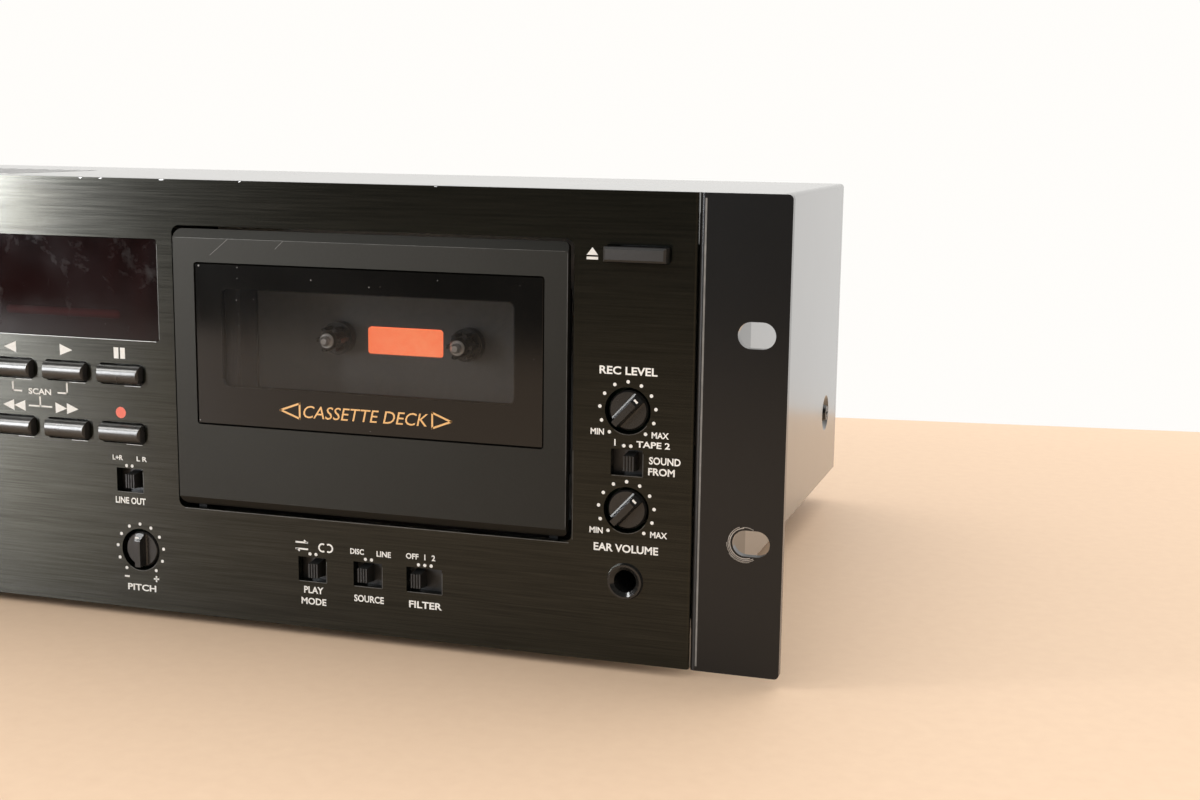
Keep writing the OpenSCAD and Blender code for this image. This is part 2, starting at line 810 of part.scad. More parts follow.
// Bent ear on the right: rounded face plate with two slots, and a flange along the case
module rack_ear() {
    x0 = case_w / 2;
    x1 = panel_w / 2;
    difference() {
        intersection() {
            linear_extrude(panel_h) {
                translate([x0 + ear_bend_r, 0]) square([x1 - x0 - ear_bend_r, ear_t]);
                translate([x0, ear_bend_r]) square([ear_t, ear_depth - ear_bend_r]);
                translate([x0 + ear_bend_r, ear_bend_r]) circle(ear_bend_r);
            }
            translate([x1 - panel_w / 2, 0, panel_h / 2]) slab(ear_depth)
                round_rect(panel_w, panel_h, ear_corner_r);
        }
        for (z = [panel_h / 2 - slot_pitch_z / 2, panel_h / 2 + slot_pitch_z / 2]) {
            translate([slot_pitch_x / 2, -cut, z]) slab(ear_t + 2 * cut) slot_outline(slot_l, slot_h);
        }
        block(x0 - cut, x1 + cut, ear_t, ear_depth + cut, -cut, ear_trim);
        block(x0 - cut, x1 + cut, ear_t, ear_depth + cut, panel_h - ear_trim, panel_h + cut);
        for (z = ear_screw_heights()) {
            translate([x0 - cut, ear_screw_d, z]) rotate([0, 90, 0])
                cylinder(h = ear_t + 2 * cut, r = screw_hole_r);
        }
    }
}

module rack_ear_right() {
    color("#2b2a27") place(0, 0) rack_ear();
}

module rack_ear_left() {
    color("#2b2a27") place(0, 0) mirror([1, 0, 0]) rack_ear();
}

// Two screws through each ear's flange and one in each of the cover's dimples
module case_screws() {
    color("dimgray") place(0, 0) for (s = [0, 1]) {
        mirror([s, 0, 0]) {
            for (z = ear_screw_heights()) {
                translate([case_w / 2 + ear_t, ear_screw_d, z]) mirror([1, 0, 0]) case_screw(screw_l);
            }
            translate([case_w / 2 - dimple_d, side_screw_d, side_screw_z])
                mirror([1, 0, 0]) case_screw(screw_l);
        }
    }
}

// Four moulded feet, each with a stem through the floor and a hollow sole
module feet() {
    color("#1c1c1c") for (x = [-foot_x, foot_x]) {
        for (d = [foot_front_d, foot_rear_d]) {
            translate([x, front_y + d, 0]) {
                rotate_extrude() polygon([
                    [foot_r * 0.4, 0], [foot_r - 1.6, 0], [foot_r - 0.6, 1], [foot_r, foot_h],
                    [0, foot_h], [0, foot_h * 0.55], [foot_r * 0.4, foot_h * 0.55]
                ]);
                translate([0, 0, foot_h]) cylinder(h = foot_stem_l, r = foot_stem_r);
            }
        }
    }
}

// Electronics

// Tinted window: a front step in the opening and a rim against the panel's back
module display_window() {
    color("#2a1512") place(display_x, display_z + display_h / 2) {
        translate([0, display_gap, 0]) slab(panel_t - display_gap)
            round_rect(display_w - 2 * display_gap, display_h - 2 * display_gap, 0.5);
        translate([0, panel_t, 0]) slab(1.5) round_rect(display_w + 4, display_h + 4, 1.5);
    }
}

// Circuit boards on spacers behind the panel, with the switches and controls soldered to them
module front_boards() {
    color("darkgreen") place(0, 0) difference() {
        union() {
            for (b = BOARDS) {
                block(b[0], b[1], board_d, board_d + board_t, b[2], b[3]);
                for (x = [b[0] + board_edge, b[1] - board_edge]) {
                    for (z = [b[2] + board_edge, b[3] - board_edge]) {
                        translate([x, panel_t, z]) rod(stud_r, board_gap);
                    }
                }
            }
            for (k = concat(TAPE_KEYS, DISC_KEYS, [[power_x, power_z]])) {
                translate([k[0], board_d - tact_h, k[1]]) slab(tact_h) square(tact_w, center = true);
            }
            for (k = KNOBS) {
                translate([k[0], board_d - pot_l, k[1]]) rod(pot_r, pot_l);
            }
            for (s = SWITCHES) {
                translate([s[0], switch_body_d, s[1]]) slab(board_d - switch_body_d)
                    square([window_w + 5 + (s[2] - 2) * switch_step, window_h + 1.4], center = true);
            }
            translate([display_x, panel_t + 3.5, display_z + display_h / 2]) slab(board_gap - 3.5)
                square([display_w - tube_edge_x, display_h - tube_edge_z], center = true);
        }
        for (k = KNOBS) {
            translate([k[0], board_d - pot_l - cut, k[1]]) rod(shaft_r + run_gap, pot_l + cut - shaft_end);
        }
        for (s = SWITCHES) {
            translate([s[0], switch_body_d - cut, s[1]]) slab(cut + 3)
                square([lever_w + 1.2 + s[2] * switch_step, 3.4], center = true);
        }
    }
}

// Headphone socket: bevelled collar, barrel through the panel and body behind it
module phones_jack() {
    color("#161616") place(level_x, jack_z) difference() {
        union() {
            translate([0, -jack_proud, 0]) rotate([-90, 0, 0])
                cylinder(h = jack_proud, r1 = jack_collar_r - 0.4, r2 = jack_collar_r);
            rod(jack_barrel_r, panel_t);
            translate([0, panel_t, 0]) slab(jack_l) square([jack_body_w, jack_body_h], center = true);
        }
        translate([0, -jack_proud - cut, 0]) rod(jack_r, panel_t + jack_l + cut - 0.5);
        translate([0, -jack_proud - 0.01, 0]) rotate([-90, 0, 0])
            cylinder(h = jack_cone_h, r1 = jack_r + jack_cone_w, r2 = jack_r);
    }
}

function board_posts() = [
    for (x = [main_x0 + main_edge, main_x1 - main_edge])
        for (d = [main_d0 + main_edge, main_d1 - main_edge]) [x, d]
];

// Main circuit board with its heat sink and smoothing capacitors
module main_board() {
    top = board_rest + board_t;
    fin_x = main_x1 - 125;
    fin_d = main_d1 - 50;
    color("green") place(0, 0) {
        block(main_x0, main_x1, main_d0, main_d1, board_rest, top);
        for (i = [0 : 3]) {
            translate([main_x0 + 30 + i * cap_pitch, main_d0 + 30, top]) cylinder(h = cap_h, r = cap_r);
        }
        for (i = [0 : fin_count - 1]) {
            x = fin_x + i * fin_pitch;
            block(x, x + fin_t, fin_d, fin_d + fin_l, top, top + fin_h);
        }
        web_d = fin_d + fin_l / 2;
        fin_span = (fin_count - 1) * fin_pitch + fin_t;
        block(fin_x, fin_x + fin_span, web_d - fin_t, web_d + fin_t, top, top + fin_h);
        block(fin_x - 60, fin_x - 60 + chip_w, main_d1 - 60, main_d1 - 60 + chip_w, top, top + chip_h);
    }
}

// Mains transformer: laminated core with its winding and foot plate
module power_transformer() {
    core_h = loader_floor - chassis_floor - core_clear;
    limb = core_w / 6;
    coil_x = 2 * limb - 0.5;
    coil_y = core_t / 2 + limb + 2;
    low = foot_plate_t + limb;
    color("#5b4a36") place(core_side - case_w / 2, chassis_floor, case_d - core_back) {
        block(-core_w / 2 - 9, core_w / 2 + 9, -core_t / 2 - 3, core_t / 2 + 3, 0, foot_plate_t);
        difference() {
            block(-core_w / 2, core_w / 2, -core_t / 2, core_t / 2, foot_plate_t, core_h);
            for (s = [-1, 1]) {
                mid = s * 1.5 * limb;
                block(mid - limb / 2, mid + limb / 2, -core_t, core_t, low, core_h - limb);
            }
        }
        difference() {
            block(-coil_x, coil_x, -coil_y, coil_y, low + 0.5, core_h - limb - 0.5);
            block(-limb, limb, -core_t / 2, core_t / 2, low, core_h - limb);
        }
    }
}

function sockets() = [
    for (c = [0 : socket_columns - 1])
        for (r = [-1, 1])
            [socket_x + (c - (socket_columns - 1) / 2) * socket_pitch, socket_z + r * socket_pitch / 2]
];

// Block of line sockets: moulded body inside, plated rings through the rear panel
module rca_sockets() {
    w = socket_columns * socket_pitch + 2;
    h = 2 * socket_pitch + 2;
    inner_d = case_d - sheet - socket_body_l;
    color("#202020") place(0, 0) difference() {
        union() {
            translate([socket_x, inner_d, socket_z]) slab(socket_body_l) square([w, h], center = true);
            for (p = sockets()) {
                translate([p[0], inner_d, p[1]]) rod(socket_r, socket_body_l + sheet + socket_proud);
            }
        }
        for (p = sockets()) {
            translate([p[0], case_d + socket_proud - socket_bore_l, p[1]])
                rod(socket_bore_r, socket_bore_l + cut);
        }
    }
}

// Mains inlet: flanged shell with three pins set back from its mouth
module mains_inlet() {
    back = case_d + inlet_flange_t;
    color("#1a1a1a") place(inlet_x, inlet_z) {
        difference() {
            union() {
                translate([0, case_d - inlet_l, 0]) slab(inlet_l) square([inlet_w, inlet_h], center = true);
                translate([0, case_d, 0]) slab(inlet_flange_t) round_rect(inlet_w + 8, inlet_h + 5, 2);
            }
            translate([0, back - inlet_deep, 0]) slab(inlet_deep + cut)
                square([inlet_mouth_w, inlet_mouth_h], center = true);
        }
        for (p = [[-7, 1.5], [7, 1.5], [0, -2.5]]) {
            translate([p[0], back - inlet_deep, p[1]]) slab(pin_l) square([2, 4], center = true);
        }
    }
}

// Cassette bay

// Steel plate at the back of the bay with bearings for the spindles and capstans
module deck_plate() {
    low = bay_in_z - bay_wall - 1;
    high = bay_in_top + bay_wall + 1;
    color("#4a4845") place(tape_x, 0) difference() {
        union() {
            translate([0, deck_d, (low + high) / 2]) slab(deck_t) difference() {
                round_rect(deck_w, high - low, 3);
                translate([0, backlight_z - (low + high) / 2])
                    round_rect(backlight_w + 2 * backlight_gap, backlight_h + 2 * backlight_gap, 1);
            }
            for (s = [-1, 1]) {
                translate([s * reel_pitch / 2, deck_d, reel_z]) rod(boss_r, reel_disc_d - deck_d - part_gap);
                translate([s * capstan_pitch / 2, deck_d - boss_proud, capstan_z])
                    rod(boss_r, boss_proud + flywheel_d - deck_d - hub_l - part_gap);
                translate([s * guide_x, deck_d - guide_l, guide_z]) rod(guide_r, guide_l);
            }
        }
        for (s = [-1, 1]) {
            translate([s * reel_pitch / 2, deck_d - cut, reel_z])
                rod(guide_r + run_gap, reel_disc_d - deck_d + 2 * cut);
            translate([s * capstan_pitch / 2, deck_d - boss_proud - cut, capstan_z])
                rod(capstan_r + run_gap, boss_proud + flywheel_d - deck_d + 2 * cut);
        }
    }
}

// Moulded frame between the panel and the deck plate, with the door's hinge lugs
module cassette_well() {
    mid_z = (bay_in_z + bay_in_top) / 2;
    high = bay_in_top - bay_in_z;
    color("#1b1a18") place(tape_x, 0) difference() {
        union() {
            translate([0, panel_t, mid_z]) slab(deck_d - panel_t) difference() {
                round_rect(bay_out_w, high + 2 * bay_wall, 3);
                square([bay_in_w, high], center = true);
            }
            for (s = [-1, 1]) {
                translate([s * (lug_x + lug_t / 2), 0, 0]) bar_x(lug_t) {
                    translate([hinge_d, hinge_z]) circle(eye_r);
                    translate([panel_t, bay_in_z - lug_root])
                        square([hinge_d + eye_r - panel_t, hinge_z - bay_in_z + lug_root]);
                }
            }
        }
        translate([-lug_x - lug_t - cut, hinge_d, hinge_z]) rotate([0, 90, 0])
            cylinder(h = 2 * (lug_x + lug_t + cut), r = hinge_r + run_gap);
    }
}

// Lit diffuser between the reels
module tape_backlight() {
    color("#ff9a6c") place(tape_x, backlight_z) {
        translate([0, deck_d - 0.2, 0]) slab(deck_t + 0.2) round_rect(backlight_w, backlight_h, 0.8);
        translate([0, deck_d + deck_t, 0]) slab(2)
            square([backlight_w + 3.5, backlight_h + 3], center = true);
    }
}

// Plate behind the flywheels on four posts, carrying the motor and the capstans' rear ends
module flywheel_bridge() {
    low = capstan_z + motor_z - motor_r - bridge_edge;
    high = reel_z + bridge_above;
    post_x = deck_w / 2 - bridge_post_edge;
    color("silver") place(tape_x, 0) difference() {
        union() {
            translate([2, bridge_d, (low + high) / 2]) slab(bridge_t) round_rect(deck_w - 8, high - low, 4);
            for (p = [[-post_x, high - 5], [post_x + 2, high - 5], [-post_x, low + 20.5]]) {
                translate([p[0], deck_d + deck_t, p[1]]) rod(bridge_post_r, bridge_d - deck_d - deck_t);
            }
        }
        for (s = [-1, 1]) {
            translate([s * capstan_pitch / 2, bridge_d - cut, capstan_z])
                rod(capstan_r + run_gap, bridge_t + 2 * cut);
        }
        translate([motor_x, bridge_d - cut, capstan_z + motor_z]) rod(pulley_r + 1, bridge_t + 2 * cut);
    }
}

// Capstan motor on the back of the bridge
module capstan_motor() {
    color("silver") place(tape_x + motor_x, capstan_z + motor_z, bridge_d + bridge_t) difference() {
        union() {
            rod(motor_r, motor_l);
            translate([0, motor_l, 0]) rod(motor_hub_r, motor_hub_l);
        }
        translate([0, -cut, 0]) rod(motor_shaft_r + run_gap, motor_l / 2 + cut);
    }
}

// Motor pulley and its shaft
module motor_pulley() {
    color("goldenrod") place(tape_x + motor_x, capstan_z + motor_z, flywheel_d) {
        translate([0, 1, 0]) rod(pulley_r, flywheel_t - 2);
        translate([0, 0.2, 0]) rod(pulley_r + 0.2, 0.8);
        translate([0, 1, 0]) rod(motor_shaft_r, bridge_d + bridge_t + motor_l / 2 - flywheel_d - 2);
    }
}

// Belt path: each wheel is centre x, centre z, radius to the belt's middle, and 1 or -1 for its turn
belt_mid = belt_gap + belt_t / 2;
BELT_WHEELS = [
    [-capstan_pitch / 2, 0, flywheel_r + belt_mid, 1],
    [motor_x, motor_z, pulley_r + belt_mid, 1],
    [capstan_pitch / 2, 0, flywheel_r + belt_mid, -1]
];
belt_steps = 20;

// Heading of the straight run from one wheel to the next
function run_heading(a, b) =
    atan2(b[1] - a[1], b[0] - a[0])
    + asin((a[3] * a[2] - b[3] * b[2]) / norm([b[0] - a[0], b[1] - a[1]]));
// Angle turned on a wheel, always in the wheel's own direction
function wrap_angle(from, to, turn) = turn * ((turn * (to - from) % 360 + 360) % 360);
// Points of the belt at a distance outside its middle
function belt_points(off) = [
    for (i = [0 : 2])
        let (
            w = BELT_WHEELS[i],
            h_in = run_heading(BELT_WHEELS[(i + 2) % 3], w),
            h_out = run_heading(w, BELT_WHEELS[(i + 1) % 3]),
            wrap = wrap_angle(h_in, h_out, w[3])
        )
        for (k = [0 : belt_steps])
            let (a = h_in + wrap * k / belt_steps - 90, r = w[3] * w[2] + off)
            [w[0] + r * cos(a), w[1] + r * sin(a)]
];

// Flat belt round the left flywheel and the pulley, its back against the right flywheel
module drive_belt() {
    count = 3 * (belt_steps + 1);
    color("#222222") place(tape_x, capstan_z, flywheel_d + (flywheel_t - belt_w) / 2) slab(belt_w)
        polygon(
            concat(belt_points(belt_t / 2), belt_points(-belt_t / 2)),
            [[for (i = [0 : count - 1]) i], [for (i = [0 : count - 1]) count + i]]
        );
}

// Door shell, sloped along its upper and lower edges, with a seat for the lens and an opening behind it
module cassette_door() {
    mid_z = door_z + door_h / 2;
    half = door_h / 2;
    edge_d = door_t - door_edge_t;
    color("#3a3835") place(tape_x, mid_z, -door_proud) difference() {
        intersection() {
            slab(door_t) round_rect(door_w, door_h, door_r);
            bar_x(door_w) polygon([
                [0, door_bevel - half], [edge_d, -half], [door_t, -half],
                [door_t, half], [edge_d, half], [0, half - door_bevel]
            ]);
        }
        translate([0, -cut, lens_z + lens_h / 2 - mid_z]) slab(cut + lens_sink + lens_t)
            round_rect(lens_w + 2 * lens_gap, lens_h + 2 * lens_gap, lens_r);
        translate([0, -cut, clear_z + clear_h / 2 - mid_z]) slab(door_t + 2 * cut)
            round_rect(clear_w, clear_h, clear_r);
    }
}

// Smoked lens with polished edges, set into the door
module door_lens() {
    color("#161412") place(tape_x, lens_z + lens_h / 2, lens_sink - door_proud) intersection() {
        slab(lens_t) round_rect(lens_w, lens_h, lens_r);
        bevelled_plate(lens_w, lens_h, lens_t, lens_bevel);
    }
}

// Carrier on the door's back: two channelled cheeks, a cross bar and the hinge pins
module cassette_holder() {
    top = holder_top;
    low = hinge_z + 11.5;
    seat = low + 1.5;
    lip_front = holder_back - 13;
    color("#2a2927") place(tape_x, 0) {
        for (s = [-1, 1]) {
            translate([s * (holder_x + holder_t / 2), 0, 0]) bar_x(holder_t) {
                polygon([
                    [door_back, hinge_z + eye_r + 0.6], [hinge_d + eye_r, hinge_z], [holder_back - 6, low],
                    [holder_back, low], [holder_back, top - 8], [lip_front, top], [door_back, top]
                ]);
                translate([hinge_d, hinge_z]) circle(eye_r);
            }
            cheek = s * (holder_x - 2.8);
            block(cheek - 2.8, cheek + 2.8, lip_front, lip_front + 1.2, low, top);
            block(cheek - 2.8, cheek + 2.8, holder_back - 1.2, holder_back, low, top - 8);
            block(cheek - 2.8, cheek + 2.8, lip_front, holder_back, low, seat);
            translate([s > 0 ? holder_x : -lug_x - lug_t, hinge_d, hinge_z]) rotate([0, 90, 0])
                cylinder(h = lug_x + lug_t - holder_x, r = hinge_r);
        }
        block(-holder_x - 0.4, holder_x + 0.4, door_back, door_back + 1.6, hinge_z + 4.5, hinge_z + 9.5);
    }
}

// Reel spindle: nose, splined hub, collar, shaft and the reel disc behind the plate
module reel_spindle() {
    nose_d = deck_d - 12.5;
    hub_d = nose_d + 2;
    collar_d = deck_d - 3.5;
    rotate([-90, 0, 0]) {
        rotate_extrude() polygon([
            [0, nose_d], [0.9, nose_d], [1.5, nose_d + 0.8], [1.5, hub_d], [2.2, hub_d], [3, hub_d + 1.4],
            [3, collar_d], [5.05, collar_d], [5.05, deck_d - part_gap], [guide_r, deck_d - part_gap],
            [guide_r, reel_disc_d], [12, reel_disc_d], [12, reel_disc_d + 3], [0, reel_disc_d + 3]
        ]);
        for (turn = [0 : 60 : 300]) {
            rotate([0, 0, turn]) translate([2.6, -0.6, hub_d + 1.6]) cube([1.5, 1.2, collar_d - hub_d - 1.6]);
        }
    }
}

module reel_spindle_left() {
    color("#c8c6c0") place(tape_x - reel_pitch / 2, reel_z) reel_spindle();
}

module reel_spindle_right() {
    color("#c8c6c0") place(tape_x + reel_pitch / 2, reel_z) reel_spindle();
}

// Capstan shaft with its flywheel
module capstan() {
    tip_d = deck_d - 14.5;
    rotate([-90, 0, 0]) rotate_extrude() polygon([
        [0, tip_d], [capstan_r - 0.4, tip_d], [capstan_r, tip_d + 0.6], [capstan_r, flywheel_d - 1.5],
        [5, flywheel_d - 1.5], [5, flywheel_d + 1], [flywheel_r - 4, flywheel_d + 1],
        [flywheel_r - 4, flywheel_d], [flywheel_r, flywheel_d],
        [flywheel_r, flywheel_d + flywheel_t], [5, flywheel_d + flywheel_t],
        [5, flywheel_d + flywheel_t + 1], [capstan_r, flywheel_d + flywheel_t + 1],
        [capstan_r, bridge_d + bridge_t + 0.5], [0, bridge_d + bridge_t + 0.5]
    ]);
}

module capstan_left() {
    color("silver") place(tape_x - capstan_pitch / 2, capstan_z) capstan();
}

module capstan_right() {
    color("silver") place(tape_x + capstan_pitch / 2, capstan_z) capstan();
}

// Sliding head block: slotted base, tape head, guide forks and roller axles
module head_block() {
    base_front = head_plate_d;
    base_t = deck_d - part_gap - head_plate_d;
    head_top = guide_z - 2;
    low = bay_in_z + 5.4;
    slot_w = 2 * guide_r + 2 * run_gap;
    notch_w = 2 * boss_r + 2;
    notch_z = capstan_z - boss_r - head_travel - 0.5;
    color("#b9b5ad") place(tape_x, 0) {
        translate([0, base_front, 0]) slab(base_t) difference() {
            translate([-guide_x - guide_edge, low])
                square([2 * (guide_x + guide_edge), head_plate_top - low]);
            for (s = [-1, 1]) {
                translate([s * guide_x, guide_z]) circle(guide_r + run_gap);
                translate([s * guide_x - slot_w / 2, guide_z - head_travel]) square([slot_w, head_travel]);
                translate([s * guide_x, guide_z - head_travel]) circle(guide_r + run_gap);
                translate([s * roller_x - notch_w / 2, notch_z])
                    square([notch_w, head_plate_top + cut - notch_z]);
            }
        }
        translate([0, base_front - head_l, 0]) slab(head_l) intersection() {
            translate([-head_w / 2, low + 2]) square([head_w, head_top - low - 2]);
            translate([0, head_top - head_crown_r]) circle(head_crown_r);
        }
        for (s = [-1, 1]) {
            fork = s * (head_w / 2 + fork_t + 1.2);
            translate([fork - fork_t / 2, base_front - head_l + 2, low + 4])
                cube([fork_t, head_l - 2, head_top - low - 5.5]);
            translate([s * roller_x, base_front - axle_l, roller_z]) rod(axle_r, axle_l);
        }
    }
}

// Rubber pinch roller on its sleeve
module pinch_roller() {
    sleeve_r = axle_r + 1.2;
    rotate([-90, 0, 0]) rotate_extrude() polygon([
        [axle_r + run_gap, 0], [sleeve_r, 0], [sleeve_r, 0.6], [roller_r, 0.6], [roller_r, roller_l - 0.6],
        [sleeve_r, roller_l - 0.6], [sleeve_r, roller_l], [axle_r + run_gap, roller_l]
    ]);
}

module pinch_roller_left() {
    color("#2f2a26") place(tape_x - roller_x, roller_z, head_plate_d - roller_l - 0.7) pinch_roller();
}

module pinch_roller_right() {
    color("#2f2a26") place(tape_x + roller_x, roller_z, head_plate_d - roller_l - 0.7) pinch_roller();
}

// Front controls

// Half-round key with a rim behind the panel and a tail towards its switch
module key(p) {
    nose = key_h / 2;
    tail = panel_t + part_gap + key_flange_t;
    place(p[0], p[1]) {
        intersection() {
            bar_x(key_w) {
                translate([nose - key_proud, 0]) circle(nose);
                translate([nose - key_proud, -nose]) square([tail + key_proud - nose, key_h]);
            }
            translate([0, 0, -key_h]) linear_extrude(2 * key_h) polygon([
                [0.5 - key_w / 2, -key_proud], [key_w / 2 - 0.5, -key_proud], [key_w / 2, 0.9 - key_proud],
                [key_w / 2, tail], [-key_w / 2, tail], [-key_w / 2, 0.9 - key_proud]
            ]);
        }
        translate([0, panel_t + part_gap, 0]) slab(key_flange_t)
            square([key_w + 2 * key_flange_w, key_h + 2 * key_flange_w], center = true);
        translate([0, tail, 0]) slab(panel_t + key_tail - tail) square([6, 3], center = true);
    }
}

module tape_key(i) {
    color("#55534f") key(TAPE_KEYS[i]);
}

module disc_key(i) {
    color("#55534f") key(DISC_KEYS[i]);
}

// Flat push button with softened edges, a rim behind the panel and a push rod
module push_button(p, w, h, proud, rod_l) {
    rim_d = panel_t + part_gap;
    place(p[0], p[1]) {
        translate([0, -proud, 0]) bevelled_plate(w, h, proud + rim_d + 0.4, 0.6);
        translate([0, rim_d, 0]) slab(key_flange_t)
            square([w + 2 * key_flange_w, h + 2 * key_flange_w], center = true);
        translate([0, rim_d + key_flange_t, 0]) slab(rod_l) square([5, 2.6], center = true);
    }
}

module eject_button() {
    push_l = eject_travel + eject_reach;
    color("#3c3a37") push_button([eject_x, eject_z], eject_w, eject_h, eject_proud, push_l);
}

module power_button() {
    push_l = key_tail - part_gap - key_flange_t;
    color("#3c3a37") push_button([power_x, power_z], power_w, power_h, key_proud, push_l);
}

// Sunk knob with a tapered grip bar across its face, sloped at the pointer's end, and a shaft
module knob(p, turn) {
    skirt_end = board_d - pot_l - skirt_gap;
    rim_r = knob_r - knob_bevel;
    top_x = knob_bar_w / 2;
    flank_x = top_x + knob_flank;
    foot_x0 = flank_x + knob_fillet_w;
    place(p[0], p[1]) rotate([0, turn, 0]) translate([0, knob_sink, 0]) {
        rotate([-90, 0, 0]) rotate_extrude() polygon([
            [0, 0], [rim_r, 0], [knob_r, knob_bevel],
            [knob_r, skirt_end - knob_sink], [0, skirt_end - knob_sink]
        ]);
        intersection() {
            translate([0, 0, -knob_r]) linear_extrude(2 * knob_r) polygon([
                [-foot_x0, knob_bevel], [-foot_x0, 0], [-flank_x, -knob_fillet_h], [-top_x, -knob_bar_h],
                [top_x, -knob_bar_h], [flank_x, -knob_fillet_h], [foot_x0, 0], [foot_x0, knob_bevel]
            ]);
            bar_x(2 * knob_r) polygon([
                [knob_bevel, -knob_r], [knob_bevel, knob_r], [-knob_fillet_h, knob_r],
                [-knob_bar_h, pointer_z], [-knob_bar_h, -knob_r]
            ]);
            translate([0, -knob_bar_h, 0]) rod(rim_r, knob_bar_h + knob_bevel);
        }
        translate([0, skirt_end - knob_sink, 0]) rod(shaft_r, pot_l - shaft_end);
    }
}

module input_level_knob() {
    color("#2a2825") knob(KNOBS[0], knob_turn);
}

module phones_level_knob() {
    color("#2a2825") knob(KNOBS[1], knob_turn);
}

module tape_speed_knob() {
    color("#2a2825") knob(KNOBS[2], 0);
}

// Ribbed switch lever on a shutter plate that closes its window from behind
module switch_lever(s) {
    plate_w = window_w + (s[2] - 2) * switch_step + switch_step * (s[2] - 1) + 0.8;
    x = s[0] + s[3] * switch_step * (s[2] - 1) / 2;
    rib = lever_w / 7;
    place(x, s[1]) {
        difference() {
            bar_x(lever_w) polygon([
                [-lever_proud, -lever_h / 2], [lever_plate_d + 0.5, -lever_h / 2 - 0.6],
                [lever_plate_d + 0.5, lever_h / 2 + 0.6], [-lever_proud, lever_h / 2]
            ]);
            for (i = [-1, 0, 1]) {
                translate([2 * i * rib - rib / 2, -lever_proud - cut, -lever_h])
                    cube([rib, 0.4 + cut, 2 * lever_h]);
            }
        }
        translate([0, lever_plate_d, 0]) slab(lever_plate_t) square([plate_w, window_h + 1.2], center = true);
        translate([0, lever_plate_d + lever_plate_t, 0]) slab(2.4) square([lever_w, 3], center = true);
    }
}

module panel_switch(i) {
    color("#4b4945") switch_lever(SWITCHES[i]);
}

// Disc drawer

// Sliding tray: two-step disc seat, finger cut at the front and an open slot to the rear
module cd_tray() {
    color("#201f1d") place(tray_x, tray_z, tray_d) difference() {
        block(-tray_w / 2, tray_w / 2, 0, tray_l, 0, tray_t);
        translate([0, disc_d - tray_d, tray_t - disc_seat])
            cylinder(h = disc_seat + cut, r = disc_r, $fn = 96);
        translate([0, disc_d - tray_d, tray_t - disc_seat - 1.2])
            cylinder(h = disc_seat, r = small_disc_r, $fn = 72);
        translate([0, disc_d - tray_d, -cut]) cylinder(h = tray_t + 2 * cut, r = slot_r);
        block(-slot_r, slot_r, disc_d - tray_d, tray_l + cut, -cut, tray_t + cut);
        for (s = [-1, 1]) {
            edge = s * tray_w / 2;
            block(edge - groove_depth, edge + groove_depth, 6, tray_l + cut, groove_z, groove_z + groove_h);
        }
    }
}

// Drawer front on the end of the tray
module tray_front() {
    color("#2b2925") place(tray_x, tray_front_z + tray_front_h / 2, tray_d - tray_front_t)
        bevelled_plate(tray_front_w, tray_front_h, tray_front_t, 1);
}

function loader_posts() = [
    for (x = [tray_x - loader_w / 2 + 8, tray_x + loader_w / 2 - 8])
        for (d = [loader_d + 12, loader_end - 12]) [x, d]
];

// Loader frame: floor, grooved side walls, clamp bridge, spindle motor and pickup rods
module cd_loader() {
    bridge_low = tray_top + bridge_clear + bridge_rise;
    wall_top = bridge_low + bridge_bar_t;
    floor_top = loader_floor + loader_floor_t;
    rib = groove_h - 2 * part_gap;
    color("#8d8a84") place(tray_x, 0) difference() {
        union() {
            block(-loader_w / 2, loader_w / 2, loader_d, loader_end, loader_floor, floor_top);
            for (s = [-1, 1]) {
                mid = s * (loader_in_w / 2 + rail_wall / 2);
                block(mid - rail_wall / 2, mid + rail_wall / 2, loader_d, loader_end, loader_floor, wall_top);
                run = s * (loader_in_w - groove_depth) / 2;
                run_z = tray_z + groove_z + part_gap;
                block(
                    run - groove_depth / 2, run + groove_depth / 2, loader_d, loader_end,
                    run_z, run_z + rib
                );
            }
            block(
                -loader_w / 2, loader_w / 2, disc_d - bridge_half, disc_d + bridge_half,
                bridge_low, wall_top
            );
            translate([0, disc_d, loader_floor]) cylinder(h = spin_motor_h, r = spin_motor_r);
            for (d = [pickup_d - 6, pickup_d + pickup_l + pickup_travel + 2]) {
                block(-rod_x - 4, rod_x + 4, d, d + 4, loader_floor, rod_z + 3);
            }
            for (s = [-1, 1]) {
                translate([s * rod_x, pickup_d - 6, rod_z]) rod(rod_r, pickup_l + pickup_travel + 12);
            }
        }
        translate([0, disc_d, bridge_low - cut]) cylinder(h = wall_top, r = puck_neck_r + part_gap);
        translate([0, disc_d, floor_top]) cylinder(h = spin_motor_h, r = spin_shaft_r + run_gap);
    }
}

// Turntable: shaft, platter and centring cone
module cd_turntable() {
    base = loader_floor + spin_motor_h + part_gap;
    under = spindle_top - platter_t;
    cone_top = spindle_top + cone_h;
    color("silver") place(tray_x, 0, disc_d) rotate_extrude() polygon([
        [0, base - spin_shaft_l], [spin_shaft_r, base - spin_shaft_l], [spin_shaft_r, base],
        [spin_hub_r, base], [spin_hub_r, under], [platter_r, under], [platter_r, spindle_top],
        [cone_r, spindle_top], [cone_r - 0.8, cone_top], [0, cone_top]
    ]);
}

// Clamp puck hanging in the bridge
module cd_clamper() {
    low = tray_top + 2 * part_gap;
    bridge_low = tray_top + bridge_clear + bridge_rise;
    wall_top = bridge_low + bridge_bar_t;
    color("#d8d5ce") place(tray_x, 0, disc_d) rotate_extrude() polygon([
        [0, low], [puck_r, low], [puck_r, bridge_low - puck_gap], [puck_neck_r, bridge_low - puck_gap],
        [puck_neck_r, wall_top + part_gap], [puck_r, wall_top + part_gap],
        [puck_r, wall_top + puck_t], [0, wall_top + puck_t]
    ]);
}

